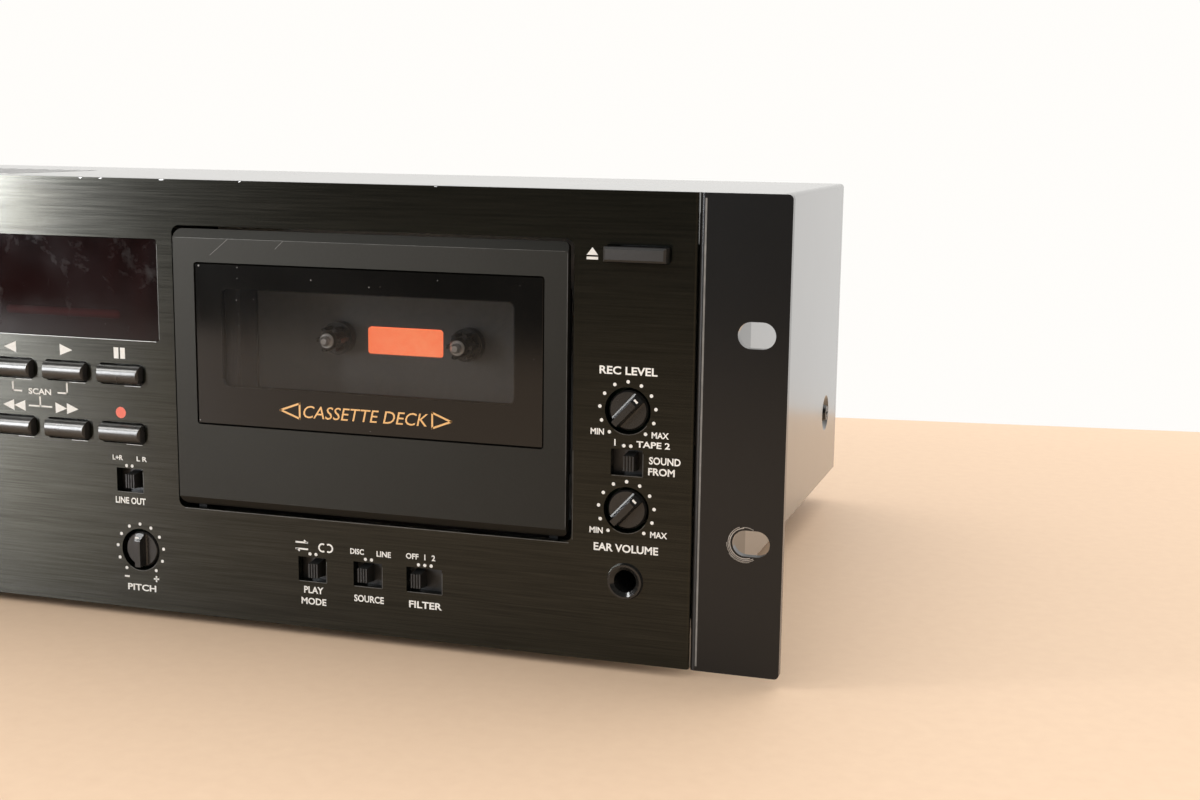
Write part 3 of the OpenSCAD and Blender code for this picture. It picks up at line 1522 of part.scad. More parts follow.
// Optical pickup on its two rods
module optical_pickup() {
    low = rod_z - 4;
    high = spindle_top - 1.6;
    color("#3d4a52") place(tray_x, 0, pickup_d) difference() {
        union() {
            block(-17, 17, 0, pickup_l, low, rod_z + 4);
            block(-13, 13, 3, pickup_l - 2, rod_z + 4, high - 1.4);
            translate([0, pickup_l / 2, high - 1.4]) cylinder(h = 1.4, r = 3.4);
        }
        for (s = [-1, 1]) {
            translate([s * rod_x, -cut, rod_z]) rod(rod_r + run_gap, pickup_l + 2 * cut);
        }
    }
}

chassis_base();
top_cover();
rear_panel();
front_panel();
rack_ear_left();
rack_ear_right();
case_screws();
feet();
display_window();
front_boards();
phones_jack();
main_board();
power_transformer();
rca_sockets();
mains_inlet();
deck_plate();
cassette_well();
tape_backlight();
flywheel_bridge();
capstan_motor();
motor_pulley();
drive_belt();
cassette_door();
door_lens();
cassette_holder();
reel_spindle_left();
reel_spindle_right();
capstan_left();
capstan_right();
head_block();
pinch_roller_left();
pinch_roller_right();
eject_button();
tape_key(0);  // tape_stop_key
tape_key(1);  // tape_reverse_key
tape_key(2);  // tape_play_key
tape_key(3);  // tape_pause_key
tape_key(4);  // tape_rewind_key
tape_key(5);  // tape_forward_key
tape_key(6);  // tape_record_key
input_level_knob();
phones_level_knob();
tape_speed_knob();
panel_switch(0);  // output_switch
panel_switch(1);  // reverse_mode_switch
panel_switch(2);  // input_switch
panel_switch(3);  // noise_filter_switch
panel_switch(4);  // phones_switch
cd_tray();
tray_front();
cd_loader();
cd_turntable();
cd_clamper();
optical_pickup();
disc_key(0);  // cd_stop_key
disc_key(1);  // cd_play_key
disc_key(2);  // cd_open_key
disc_key(3);  // cd_back_key
disc_key(4);  // cd_next_key
power_button();
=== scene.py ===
# %% [markdown]
# # A rack-mount disc and cassette deck
# The metal, the doors, the keys and the works are already solid models in one imported frame.
# This lesson dresses them: it sets up the camera and the light, gives each solid a finish
# made of nodes, and adds what a silk-screen printer and years of use left on the front, together
# with painted highlights along some of its edges.

# %% Load the frame
import math

import bmesh
import bpy
from mathutils import Matrix, Vector


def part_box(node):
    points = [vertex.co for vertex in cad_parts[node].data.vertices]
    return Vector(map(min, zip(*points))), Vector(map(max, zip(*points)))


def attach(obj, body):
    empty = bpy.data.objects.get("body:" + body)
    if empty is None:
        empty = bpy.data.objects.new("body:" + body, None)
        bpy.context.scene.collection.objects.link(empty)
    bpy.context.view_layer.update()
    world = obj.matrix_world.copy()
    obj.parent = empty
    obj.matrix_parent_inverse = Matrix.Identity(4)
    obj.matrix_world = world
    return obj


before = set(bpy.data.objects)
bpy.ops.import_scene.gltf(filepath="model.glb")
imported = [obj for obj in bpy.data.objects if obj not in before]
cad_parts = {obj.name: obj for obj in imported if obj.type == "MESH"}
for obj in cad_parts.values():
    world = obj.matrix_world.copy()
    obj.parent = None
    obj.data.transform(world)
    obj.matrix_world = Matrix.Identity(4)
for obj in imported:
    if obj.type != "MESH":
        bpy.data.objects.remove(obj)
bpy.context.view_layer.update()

# %% [markdown]
# ## Places on the front
# Every mark and window is given as a ruler on the front plate gives it: millimetres right of the
# middle, up from the lower edge and back from the face. Blender works in metres, so one function
# turns such a place into a point. It starts from the plate's own box, so the print stays on it.

# %% Places on the front
MM = 0.001
PLATE_LOW, PLATE_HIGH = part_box("front_panel")


def at(x, z, d=0.0):
    """A place in metres from millimetres right, up and back on the front plate."""
    return Vector((x * MM, PLATE_LOW.y + d * MM, PLATE_LOW.z + z * MM))


print("plate", tuple(round(v / MM, 2) for v in PLATE_HIGH - PLATE_LOW), "mm")

# %% [markdown]
# ## Camera
# The photograph was taken from the right and a little above, close enough for the near ear to
# look larger than the keys. A camera could be aimed with a Track To constraint, but the place,
# the turn, the tilt and the lens were all measured, so its matrix is written straight from them.

# %% Camera lens
CAMERA_LENS = 48.97
SENSOR_WIDTH = 36.0
CLIP_NEAR, CLIP_FAR = 0.01, 50.0
lens_data = bpy.data.cameras.new("front_right_camera")
lens_data.sensor_width = SENSOR_WIDTH
lens_data.sensor_fit = "HORIZONTAL"
lens_data.lens = CAMERA_LENS
lens_data.clip_start = CLIP_NEAR
lens_data.clip_end = CLIP_FAR
camera = bpy.data.objects.new("front_right_camera", lens_data)
bpy.context.scene.collection.objects.link(camera)
bpy.context.scene.camera = camera
bpy.context.scene.view_settings.view_transform = "Standard"
print("lens", CAMERA_LENS, "on a sensor", SENSOR_WIDTH, "mm wide")

# %% Camera place
CAMERA_PLACE = Vector((0.321884, -0.548201, 0.151786))
CAMERA_YAW = math.radians(17.3664)
CAMERA_PITCH = math.radians(9.4557)
CAMERA_ROLL = math.radians(0.7462)
forward = Vector((
    -math.sin(CAMERA_YAW) * math.cos(CAMERA_PITCH),
    math.cos(CAMERA_YAW) * math.cos(CAMERA_PITCH),
    -math.sin(CAMERA_PITCH),
))
level_right = Vector((math.cos(CAMERA_YAW), math.sin(CAMERA_YAW), 0.0))
level_up = level_right.cross(forward)
right = math.cos(CAMERA_ROLL) * level_right + math.sin(CAMERA_ROLL) * level_up
up = math.cos(CAMERA_ROLL) * level_up - math.sin(CAMERA_ROLL) * level_right
camera.matrix_world = Matrix((
    (right.x, up.x, -forward.x, CAMERA_PLACE.x),
    (right.y, up.y, -forward.y, CAMERA_PLACE.y),
    (right.z, up.z, -forward.z, CAMERA_PLACE.z),
    (0.0, 0.0, 0.0, 1.0),
))
print("camera", tuple(round(v, 4) for v in camera.location))

# %% [markdown]
# ## White wall
# The deck stands before a white wall. Black paint shows little of its own colour: most of what is
# seen on it is the wall, the table and the lamps in it. The wall is the world itself. In
# reflections it is white behind the deck and dim behind the camera, and to matt surfaces it is a
# little brighter from behind than from the front. A backdrop mesh could do this too, but it would
# stand in the way in views from behind. A small helper makes a node and sets its inputs in one
# line; Python names hold no spaces, so an underscore stands for one.

# %% White wall
AMBIENT_FRONT, AMBIENT_BEHIND = 0.9, 1.0
WALL_WHITE = (1.0, 0.985, 0.957, 1.0)
DIM_ROOM = 0.07


def node(nodes, kind, operation=None, data_type=None, **values):
    """A new shader node with some of its inputs set by name."""
    made = nodes.new("ShaderNode" + kind)
    if operation:
        made.operation = operation
    if data_type:
        made.data_type = data_type
    for name, value in values.items():
        made.inputs[name.replace("_", " ")].default_value = value
    return made


world = bpy.data.worlds.new("white_wall")
bpy.context.scene.world = world
world.use_nodes = True
sky_nodes, sky_links = world.node_tree.nodes, world.node_tree.links
way = node(sky_nodes, "TexCoord")
way_split = node(sky_nodes, "SeparateXYZ")
sky_links.new(way.outputs["Generated"], way_split.inputs["Vector"])
in_mirrors = node(sky_nodes, "MapRange", From_Min=-0.1, From_Max=0.55, To_Min=DIM_ROOM, To_Max=1.0)
on_matt = node(sky_nodes, "MapRange", From_Min=-0.6, From_Max=0.6,
               To_Min=AMBIENT_FRONT, To_Max=AMBIENT_BEHIND)
for wall in (in_mirrors, on_matt):
    sky_links.new(way_split.outputs["Y"], wall.inputs["Value"])
print("wall", WALL_WHITE, "dim room", DIM_ROOM)

# %% [markdown]
# ## Who sees which wall
# The Light Path node tells what a ray is for. Rays from the eye see plain white, mirror and glass
# rays see the wall that is dim behind the camera, and all others see the more even one. Brighter
# lamps could whiten the wall as well, but they would wash out the deck.

# %% Who sees which wall
path = node(sky_nodes, "LightPath")
mirrored = node(sky_nodes, "Math", operation="MAXIMUM")
sky_links.new(path.outputs["Is Glossy Ray"], mirrored.inputs[0])
sky_links.new(path.outputs["Is Transmission Ray"], mirrored.inputs[1])
to_surfaces = node(sky_nodes, "Mix", data_type="FLOAT")
sky_links.new(mirrored.outputs[0], to_surfaces.inputs["Factor"])
sky_links.new(on_matt.outputs["Result"], to_surfaces.inputs["A"])
sky_links.new(in_mirrors.outputs["Result"], to_surfaces.inputs["B"])
to_eye = node(sky_nodes, "Mix", data_type="FLOAT", B=1.0)
sky_links.new(path.outputs["Is Camera Ray"], to_eye.inputs["Factor"])
sky_links.new(to_surfaces.outputs["Result"], to_eye.inputs["A"])
sky = sky_nodes["Background"]
sky.inputs["Color"].default_value = WALL_WHITE
sky_links.new(to_eye.outputs["Result"], sky.inputs["Strength"])
print("world nodes", len(sky_nodes))

# %% [markdown]
# ## Table
# The table is pale and its far edge runs a little askew behind the deck. Two points of that edge
# were measured, so a flat grid is sized, turned along them and laid with its edge on the first.

# %% Table
TABLE_FAR_LEFT = Vector((0.1925, 0.3157, 0.0))
TABLE_FAR_RIGHT = Vector((0.3700, 0.3415, 0.0))
TABLE_WIDE = 3.2
TABLE_DEEP = 1.0
far_edge = TABLE_FAR_RIGHT - TABLE_FAR_LEFT
along_edge = Matrix.Rotation(math.atan2(far_edge.y, far_edge.x), 3, "Z")
bm = bmesh.new()
bmesh.ops.create_grid(bm, x_segments=1, y_segments=1, size=0.5)
bmesh.ops.scale(bm, vec=(TABLE_WIDE, TABLE_DEEP, 1.0), verts=bm.verts)
bmesh.ops.translate(bm, vec=(0.0, -TABLE_DEEP / 2, 0.0), verts=bm.verts)
bmesh.ops.rotate(bm, matrix=along_edge, verts=bm.verts)
bmesh.ops.translate(bm, vec=TABLE_FAR_LEFT, verts=bm.verts)
table_mesh = bpy.data.meshes.new("table_top")
bm.to_mesh(table_mesh)
bm.free()
table = bpy.data.objects.new("table_top", table_mesh)
bpy.context.scene.collection.objects.link(table)
print("table", TABLE_WIDE, "by", TABLE_DEEP, "m")

# %% [markdown]
# ## Lamps
# A wide lamp overhead and a small one at the left shape the case. The tall window and the skylight
# at the left only draw gleams, one along the brushed plate and one along each key, so they are
# hidden from matt surfaces, where such small lamps would cast hard shadows.

# %% Lamps
DAYLIGHT = (0.95, 0.98, 1.03)


def lamp(name, place, target, size, watts, colour=(1.0, 1.0, 1.0)):
    """A soft rectangular lamp aimed at a point."""
    data = bpy.data.lights.new(name, "AREA")
    data.shape = "RECTANGLE"
    data.size, data.size_y = size
    data.energy = watts
    data.color = colour
    holder = bpy.data.objects.new(name, data)
    holder.location = place
    holder.rotation_euler = (Vector(target) - Vector(place)).to_track_quat("-Z", "Y").to_euler()
    bpy.context.scene.collection.objects.link(holder)
    return holder


lamp("overhead_lamp", place=(0.2, 0.55, 1.7), target=(0.15, 0.1, 0.0), size=(2.2, 1.4), watts=12.0)
skylight = lamp("skylight_lamp", place=(-1.2, -1.16, 1.65), target=(0.1, -0.1, 0.08),
                size=(0.55, 0.5), watts=22.0)
lamp("side_lamp", place=(-1.66, -0.99, 0.86), target=(0.19, -0.12, 0.08), size=(0.3, 0.6), watts=9.0)
window = lamp("window_lamp", place=(-1.412, -1.857, 0.66), target=(0.0, -0.1, 0.08),
              size=(0.14, 1.2), watts=62.0, colour=DAYLIGHT)
for gleam in (skylight, window):
    gleam.visible_diffuse = False
print("lamps", len(bpy.data.lights))

# %% [markdown]
# ## Finishes
# Paint, plastic and plated steel are never one flat colour: they have a grain, a few cloudy
# patches and a gloss that is not even. All of them are built the same way here, from two
# noises read in the object's own coordinates. One noise is fine and gives the grain and the
# bump; the other is coarse and gives the cloudy patches in the colour and in the gloss.
# A stretch on the first one turns grain into brush lines.

# %% Two noises
NOISE_LOW, NOISE_HIGH = 0.3, 0.7


def two_noises(nodes, links, grain, stretch, patch):
    """Object coordinates, a fine noise that may be stretched, and a coarse one."""
    coords = node(nodes, "TexCoord")
    turn = node(nodes, "Mapping", Scale=stretch)
    fine = node(nodes, "TexNoise", Scale=grain, Detail=3.0)
    cloud = node(nodes, "TexNoise", Scale=patch, Detail=4.0)
    links.new(coords.outputs["Object"], turn.inputs["Vector"])
    links.new(turn.outputs["Vector"], fine.inputs["Vector"])
    links.new(coords.outputs["Object"], cloud.inputs["Vector"])
    return coords, fine, cloud


def colour_ramp(nodes, low, high):
    """A ramp between two colours over the span that a noise really has."""
    ramp = node(nodes, "ValToRGB")
    for stop, place, colour in zip(ramp.color_ramp.elements, (NOISE_LOW, NOISE_HIGH), (low, high)):
        stop.position = place
        stop.color = (*colour, 1.0)
    return ramp


print("noise runs from about", NOISE_LOW, "to", NOISE_HIGH)

# %% Finish helper
FINISHES = {}


def finish(name, dark, light, rough, grain=900.0, stretch=(1.0, 1.0, 1.0), bump=0.05,
           bump_mm=0.02, patch=14.0, metallic=0.0, specular=0.5, coat=0.0, coat_rough=0.1):
    """A finish from two colours and the limits of its gloss, returned with its main nodes."""
    material = bpy.data.materials.new(name)
    material.use_nodes = True
    nodes, links = material.node_tree.nodes, material.node_tree.links
    skin = nodes["Principled BSDF"]
    coords, fine, cloud = two_noises(nodes, links, grain, stretch, patch)
    both = node(nodes, "Mix", data_type="FLOAT", Factor=0.5)
    links.new(fine.outputs["Fac"], both.inputs["A"])
    links.new(cloud.outputs["Fac"], both.inputs["B"])
    tint = colour_ramp(nodes, dark, light)
    links.new(both.outputs["Result"], tint.inputs["Fac"])
    links.new(tint.outputs["Color"], skin.inputs["Base Color"])
    gloss = node(nodes, "MapRange", From_Min=NOISE_LOW, From_Max=NOISE_HIGH,
                 To_Min=rough[0], To_Max=rough[1])
    links.new(cloud.outputs["Fac"], gloss.inputs["Value"])
    links.new(gloss.outputs["Result"], skin.inputs["Roughness"])
    if bump:
        relief = node(nodes, "Bump", Strength=bump, Distance=bump_mm * MM)
        links.new(fine.outputs["Fac"], relief.inputs["Height"])
        links.new(relief.outputs["Normal"], skin.inputs["Normal"])
    skin.inputs["Metallic"].default_value = metallic
    skin.inputs["Specular IOR Level"].default_value = specular
    skin.inputs["Coat Weight"].default_value = coat
    skin.inputs["Coat Roughness"].default_value = coat_rough
    FINISHES[name] = {"material": material, "nodes": nodes, "links": links, "skin": skin,
                      "coords": coords, "fine": fine, "tint": tint, "gloss": gloss}
    return FINISHES[name]


table_paint = finish("table_paint", (0.82, 0.59, 0.41), (0.87, 0.64, 0.45), (0.5, 0.6),
                     grain=220.0, bump=0.02, patch=2.5, specular=0.3)
table_mesh.materials.append(table_paint["material"])
print("first finish", table_paint["material"].name)

# %% [markdown]
# ## The front plate
# The front is an aluminium plate, brushed from side to side and then anodised black. Brush
# lines could be modelled as grooves, but they are a tenth of a millimetre wide, so they are a
# noise squeezed along Z and drawn out along X. It drives the colour, the gloss, the bump and,
# most of all, how strongly each line mirrors. The anisotropy spreads each reflection up and
# down, as real brushing does.

# %% Brushed plate
BRUSH_STRETCH = (0.8, 1.0, 56.0)
BRUSH_SPREAD, BRUSH_TURN = 0.9, 0.25
STRONG_MIRROR = Vector((1.0, 0.98, 0.84))
WEAK_SHARE = 0.6


def dress(kit, *names):
    """Gives CAD nodes a finish in place of the plain colour that they came with."""
    for name in names:
        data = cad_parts[name].data
        data.materials.clear()
        data.materials.append(kit["material"])


plate = finish("black_anodised", (0.0021, 0.0028, 0.0021), (0.0049, 0.0058, 0.0045), (0.19, 0.21),
               grain=60.0, stretch=BRUSH_STRETCH, bump=0.22, bump_mm=0.02, patch=9.0, specular=0.5)
plate["links"].new(plate["fine"].outputs["Fac"], plate["gloss"].inputs["Value"])
along = node(plate["nodes"], "Tangent")
along.direction_type = "RADIAL"
along.axis = "Z"
plate["links"].new(along.outputs["Tangent"], plate["skin"].inputs["Tangent"])
plate["skin"].inputs["Anisotropic"].default_value = BRUSH_SPREAD
plate["skin"].inputs["Anisotropic Rotation"].default_value = BRUSH_TURN
lines = colour_ramp(plate["nodes"], WEAK_SHARE * STRONG_MIRROR, STRONG_MIRROR)
plate["links"].new(plate["fine"].outputs["Fac"], lines.inputs["Fac"])
plate["links"].new(lines.outputs["Color"], plate["skin"].inputs["Specular Tint"])
dress(plate, "front_panel", "tray_front")
print("brushed", plate["material"].name)

# %% [markdown]
# ## Case, ears and feet
# The cover, the rear and the ears are folded steel with a black satin paint. Seen along the
# surface, such a paint mirrors the white wall, so it needs a clear coat over a rough base
# rather than a lighter colour. The ears are powder coated, with a finer grain and a weaker coat.

# %% Case finishes
COVER_COAT_IOR = 1.8
EAR_COAT_IOR = 1.3
cover_paint = finish("cover_paint", (0.013, 0.0125, 0.011), (0.020, 0.0193, 0.017), (0.30, 0.36),
                     grain=1500.0, bump=0.04, bump_mm=0.012, patch=6.0, specular=0.8,
                     coat=1.0, coat_rough=0.2)
cover_paint["skin"].inputs["Coat IOR"].default_value = COVER_COAT_IOR
dress(cover_paint, "top_cover", "rear_panel")
ear_paint = finish("ear_paint", (0.0018, 0.0017, 0.0014), (0.0034, 0.0032, 0.0027), (0.34, 0.4),
                   grain=2200.0, bump=0.04, bump_mm=0.012, patch=11.0, specular=0.2,
                   coat=1.0, coat_rough=0.2)
ear_paint["skin"].inputs["Coat IOR"].default_value = EAR_COAT_IOR
dress(ear_paint, "rack_ear_left", "rack_ear_right")
screw_steel = finish("screw_steel", (0.05, 0.05, 0.05), (0.11, 0.108, 0.1), (0.28, 0.4),
                     grain=1800.0, bump=0.1, metallic=0.9, patch=60.0)
dress(screw_steel, "case_screws")
foot_rubber = finish("foot_rubber", (0.012, 0.012, 0.012), (0.022, 0.022, 0.021), (0.7, 0.8),
                     grain=700.0, bump=0.15, patch=30.0)
dress(foot_rubber, "feet")
zinc_steel = finish("zinc_steel", (0.42, 0.43, 0.44), (0.6, 0.61, 0.61), (0.3, 0.45),
                    grain=120.0, bump=0.02, patch=30.0, metallic=1.0)
dress(zinc_steel, "chassis_base", "flywheel_bridge")
print("finishes so far", len(FINISHES))

# %% [markdown]
# ## Door and lens
# The cassette door is a moulded frame with a smoked acrylic lens. Real acrylic could be a
# glass shader, but no lamp light would then reach the bay behind it. An alpha below one lets
# the lamps through both faces and darkens what lies behind, and the gloss stays on top. The rim
# round the clear window is painted black from behind and mirrors less. Cutting the mesh along the
# window would part the two, but a mask made of nodes leaves the solid whole.

# %% Door and clear window
LENS_WINDOW = (at(72.0, 72.0), at(164.0, 101.0))
LENS_CORNER = 2.0
LENS_CLEAR = 0.32
LENS_POLISH = 0.42
ANY_DEPTH = 1.0
DOOR_MIRROR = (1.0, 0.97, 0.86, 1.0)


def window_mask(kit, low, high, corner, blur=0.3):
    """A mask that is 1 inside a rounded window of the front, corner and blur in millimetres."""
    nodes, links = kit["nodes"], kit["links"]
    half = (high - low) / 2
    flat = (half.x - corner * MM, ANY_DEPTH, half.z - corner * MM)
    steps = (("SUBTRACT", (low + high) / 2), ("ABSOLUTE", None),
             ("SUBTRACT", flat), ("MAXIMUM", (0.0, 0.0, 0.0)))
    vector = kit["coords"].outputs["Object"]
    for kind, value in steps:
        step = node(nodes, "VectorMath", operation=kind)
        links.new(vector, step.inputs[0])
        if value is not None:
            step.inputs[1].default_value = value
        vector = step.outputs["Vector"]
    reach = node(nodes, "VectorMath", operation="LENGTH")
    links.new(vector, reach.inputs[0])
    inside = node(nodes, "MapRange", From_Min=(corner + blur) * MM, From_Max=(corner - blur) * MM)
    links.new(reach.outputs["Value"], inside.inputs["Value"])
    return inside.outputs["Result"]


door_plastic = finish("door_plastic", (0.0068, 0.0066, 0.0056), (0.0108, 0.0105, 0.0092), (0.40, 0.46),
                      grain=1900.0, bump=0.05, bump_mm=0.012, patch=12.0, specular=0.26)
door_plastic["skin"].inputs["Specular Tint"].default_value = DOOR_MIRROR
dress(door_plastic, "cassette_door")
lens = finish("smoked_lens", (0.0028, 0.0027, 0.0024), (0.0048, 0.0046, 0.004), (0.07, 0.14),
              grain=400.0, bump=0.0, patch=16.0, specular=1.0)
clear = window_mask(lens, *LENS_WINDOW, LENS_CORNER)
for socket, on_rim, in_window in (("Alpha", 1.0, LENS_CLEAR), ("Specular Tint", LENS_POLISH, 1.0)):
    change = node(lens["nodes"], "MapRange", To_Min=on_rim, To_Max=in_window)
    lens["links"].new(clear, change.inputs["Value"])
    lens["links"].new(change.outputs["Result"], lens["skin"].inputs[socket])
print("clear window", tuple(round(v / MM, 1) for v in LENS_WINDOW[1] - LENS_WINDOW[0]), "mm")

# %% [markdown]
# ## Specks on the lens
# Fine dust clings to acrylic. A Voronoi pattern gives one round speck per cell, and only a share
# of the cells is filled, so the specks look strewn and not like a grid. They mix into the finish
# as a second, duller colour, which is lighter than hundreds of small meshes.

# %% Specks on the lens
def specks(kit, scale, size, share):
    """A mask of small round specks: cells of one size, of which only a share is filled."""
    nodes, links = kit["nodes"], kit["links"]
    cells = node(nodes, "TexVoronoi", Scale=scale)
    links.new(kit["coords"].outputs["Object"], cells.inputs["Vector"])
    pick = node(nodes, "SeparateColor")
    links.new(cells.outputs["Color"], pick.inputs["Color"])
    speck = node(nodes, "Math", operation="MULTIPLY")
    limits = ((pick.outputs["Red"], share), (cells.outputs["Distance"], size))
    for factor, (source, limit) in zip(speck.inputs, limits):
        below = node(nodes, "Math", operation="LESS_THAN")
        below.inputs[1].default_value = limit
        links.new(source, below.inputs[0])
        links.new(below.outputs[0], factor)
    return speck.outputs[0]


def blend_in(kit, mask, colour, metallic=None, rough=None):
    """Mixes a second colour into a finish where a mask says so, with its own metal and gloss."""
    nodes, links, skin = kit["nodes"], kit["links"], kit["skin"]
    mix = node(nodes, "Mix", data_type="RGBA", B=(*colour, 1.0))
    links.new(mask, mix.inputs["Factor"])
    links.new(skin.inputs["Base Color"].links[0].from_socket, mix.inputs["A"])
    links.new(mix.outputs["Result"], skin.inputs["Base Color"])
    if metallic is not None:
        shine = node(nodes, "MapRange", To_Min=skin.inputs["Metallic"].default_value, To_Max=metallic)
        links.new(mask, shine.inputs["Value"])
        links.new(shine.outputs["Result"], skin.inputs["Metallic"])
    if rough is not None:
        fade = node(nodes, "Mix", data_type="FLOAT", B=rough)
        links.new(mask, fade.inputs["Factor"])
        links.new(skin.inputs["Roughness"].links[0].from_socket, fade.inputs["A"])
        links.new(fade.outputs["Result"], skin.inputs["Roughness"])


blend_in(lens, specks(lens, scale=260.0, size=0.03, share=0.2), (0.22, 0.21, 0.19), rough=0.8)
dress(lens, "door_lens")
print("lens nodes", len(lens["nodes"]))

# %% [markdown]
# ## Display window
# The display window is a deep red filter over a dark tube. The tube shows as a soft reddish band
# with one brighter line in it. Fingers have smeared the filter, so a second noise, warped a
# little, lays dull streaks over it, and a few specks of dust lie on top. The filter could be clear
# with the tube behind it, but a tube that is off is hardly more than a change of colour.

# %% Display window
TUBE = (at(-60.0, 88.0), at(36.0, 108.0))
TUBE_LINE = (at(-4.0, 90.6), at(36.0, 92.4))
display = finish("display_tint", (0.0032, 0.0012, 0.0011), (0.0135, 0.0030, 0.0026), (0.05, 0.14),
                 grain=70.0, stretch=(3.0, 1.0, 0.5), bump=0.0, patch=38.0, specular=0.2)
blend_in(display, window_mask(display, *TUBE, corner=9.0, blur=8.0), (0.0105, 0.0022, 0.0020))
blend_in(display, window_mask(display, *TUBE_LINE, corner=0.8, blur=0.7), (0.030, 0.0030, 0.0026))
smear = node(display["nodes"], "TexNoise", Scale=62.0, Detail=6.0, Roughness=0.7, Distortion=0.4)
display["links"].new(display["coords"].outputs["Object"], smear.inputs["Vector"])
touched = node(display["nodes"], "MapRange", From_Min=0.56, From_Max=0.82, To_Max=0.34)
display["links"].new(smear.outputs["Fac"], touched.inputs["Value"])
blend_in(display, touched.outputs["Result"], (0.10, 0.095, 0.09), rough=0.6)
blend_in(display, specks(display, scale=420.0, size=0.035, share=0.12), (0.2, 0.19, 0.18), rough=0.8)
dress(display, "display_window")
print("display nodes", len(display["nodes"]))

# %% [markdown]
# ## Inside the bay
# Through the lens one sees a grey painted plate, two reel spindles and an orange diffuser with
# a lamp behind it. The plate and the mouldings round it are plain finishes, the well duller and
# darker than the holder that swings out with the door. The tape's own path, the capstans, the head
# block and the pinch rollers, is bright steel and brown-black rubber.

# %% Bay finishes
deck_steel = finish("deck_steel", (0.23, 0.226, 0.216), (0.30, 0.294, 0.281), (0.45, 0.55),
                    grain=600.0, bump=0.02, patch=20.0)
dress(deck_steel, "deck_plate")
bay_plastic = finish("bay_plastic", (0.012, 0.0118, 0.011), (0.02, 0.0195, 0.018), (0.5, 0.6),
                     grain=1500.0, bump=0.03, patch=24.0)
dress(bay_plastic, "cassette_holder")
well_plastic = finish("well_plastic", (0.006, 0.0058, 0.0054), (0.010, 0.0097, 0.009), (0.55, 0.65),
                      grain=1500.0, bump=0.03, patch=24.0, specular=0.2)
dress(well_plastic, "cassette_well")
capstan_steel = finish("capstan_steel", (0.5, 0.5, 0.5), (0.62, 0.62, 0.61), (0.16, 0.28),
                       grain=400.0, bump=0.02, patch=40.0, metallic=1.0)
dress(capstan_steel, "capstan_left", "capstan_right")
head_metal = finish("head_metal", (0.45, 0.44, 0.42), (0.58, 0.57, 0.54), (0.25, 0.4),
                    grain=500.0, stretch=(1.0, 1.0, 8.0), bump=0.03, patch=60.0, metallic=1.0)
dress(head_metal, "head_block")
roller_rubber = finish("roller_rubber", (0.018, 0.015, 0.013), (0.034, 0.029, 0.025), (0.6, 0.75),
                       grain=900.0, bump=0.1, patch=70.0)
dress(roller_rubber, "pinch_roller_left", "pinch_roller_right")
print("finishes so far", len(FINISHES))

# %% [markdown]
# ## Spindles and diffuser
# The spindles are dark plastic with a bright metal tip, one solid each, so the finish changes
# with depth: a ramp along Y is the mask. The diffuser gives light of its own in the colour of its
# plastic, which is simpler than a lamp behind a translucent sheet and has no noise.

# %% Spindles and diffuser
TIP_DEPTH = 17.0
TIP_BLUR = 0.3
DIFFUSER_GLOW = 1.75


def depth_mask(kit, start, end):
    """A mask that rises from 0 to 1 between two depths behind the plate's face."""
    split = node(kit["nodes"], "SeparateXYZ")
    kit["links"].new(kit["coords"].outputs["Object"], split.inputs["Vector"])
    rise = node(kit["nodes"], "MapRange", From_Min=at(0.0, 0.0, start).y, From_Max=at(0.0, 0.0, end).y)
    kit["links"].new(split.outputs["Y"], rise.inputs["Value"])
    return rise.outputs["Result"]


spindle = finish("spindle_plastic", (0.009, 0.009, 0.0085), (0.016, 0.0157, 0.0148), (0.3, 0.4),
                 grain=900.0, bump=0.02, patch=80.0)
tip = depth_mask(spindle, TIP_DEPTH + TIP_BLUR, TIP_DEPTH)
blend_in(spindle, tip, (0.92, 0.91, 0.88), metallic=0.5, rough=0.25)
dress(spindle, "reel_spindle_left", "reel_spindle_right")
amber = finish("amber_diffuser", (0.98, 0.18, 0.07), (1.0, 0.26, 0.11), (0.4, 0.5),
               grain=500.0, bump=0.0, patch=60.0)
amber["links"].new(amber["tint"].outputs["Color"], amber["skin"].inputs["Emission Color"])
amber["skin"].inputs["Emission Strength"].default_value = DIFFUSER_GLOW
dress(amber, "tape_backlight")
print("spindle tips in front of", TIP_DEPTH, "mm, diffuser glow", DIFFUSER_GLOW)

# %% [markdown]
# ## Keys, knobs and switches
# The keys are half-round and painted a satin gunmetal, so a soft lamp draws one bright band
# along each of them. The knobs, levers and buttons are black plastic of nearly the same shade,
# told apart by their gloss and grain.

# %% Control finishes
def ending(tail):
    """The names of the CAD nodes that end in a given word."""
    return [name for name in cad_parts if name.endswith(tail)]


key_satin = finish("key_satin", (0.05, 0.0485, 0.0455), (0.075, 0.073, 0.069), (0.25, 0.32),
                   grain=1300.0, bump=0.06, patch=40.0, metallic=0.55)
dress(key_satin, *ending("_key"))
button_plastic = finish("button_plastic", (0.022, 0.0215, 0.02), (0.034, 0.033, 0.031), (0.34, 0.42),
                        grain=1400.0, bump=0.08, patch=40.0)
dress(button_plastic, "eject_button", "power_button")
knob_plastic = finish("knob_plastic", (0.010, 0.0098, 0.009), (0.017, 0.0166, 0.0154), (0.2, 0.27),
                      grain=1600.0, bump=0.03, patch=90.0)
dress(knob_plastic, *ending("_knob"))
lever_plastic = finish("lever_plastic", (0.009, 0.0088, 0.0082), (0.018, 0.0176, 0.0163), (0.36, 0.44),
                       grain=1500.0, bump=0.1, patch=90.0)
dress(lever_plastic, *ending("_switch"))
jack_plastic = finish("jack_plastic", (0.009, 0.009, 0.0086), (0.016, 0.0157, 0.0147), (0.13, 0.18),
                      grain=1400.0, bump=0.0, patch=60.0)
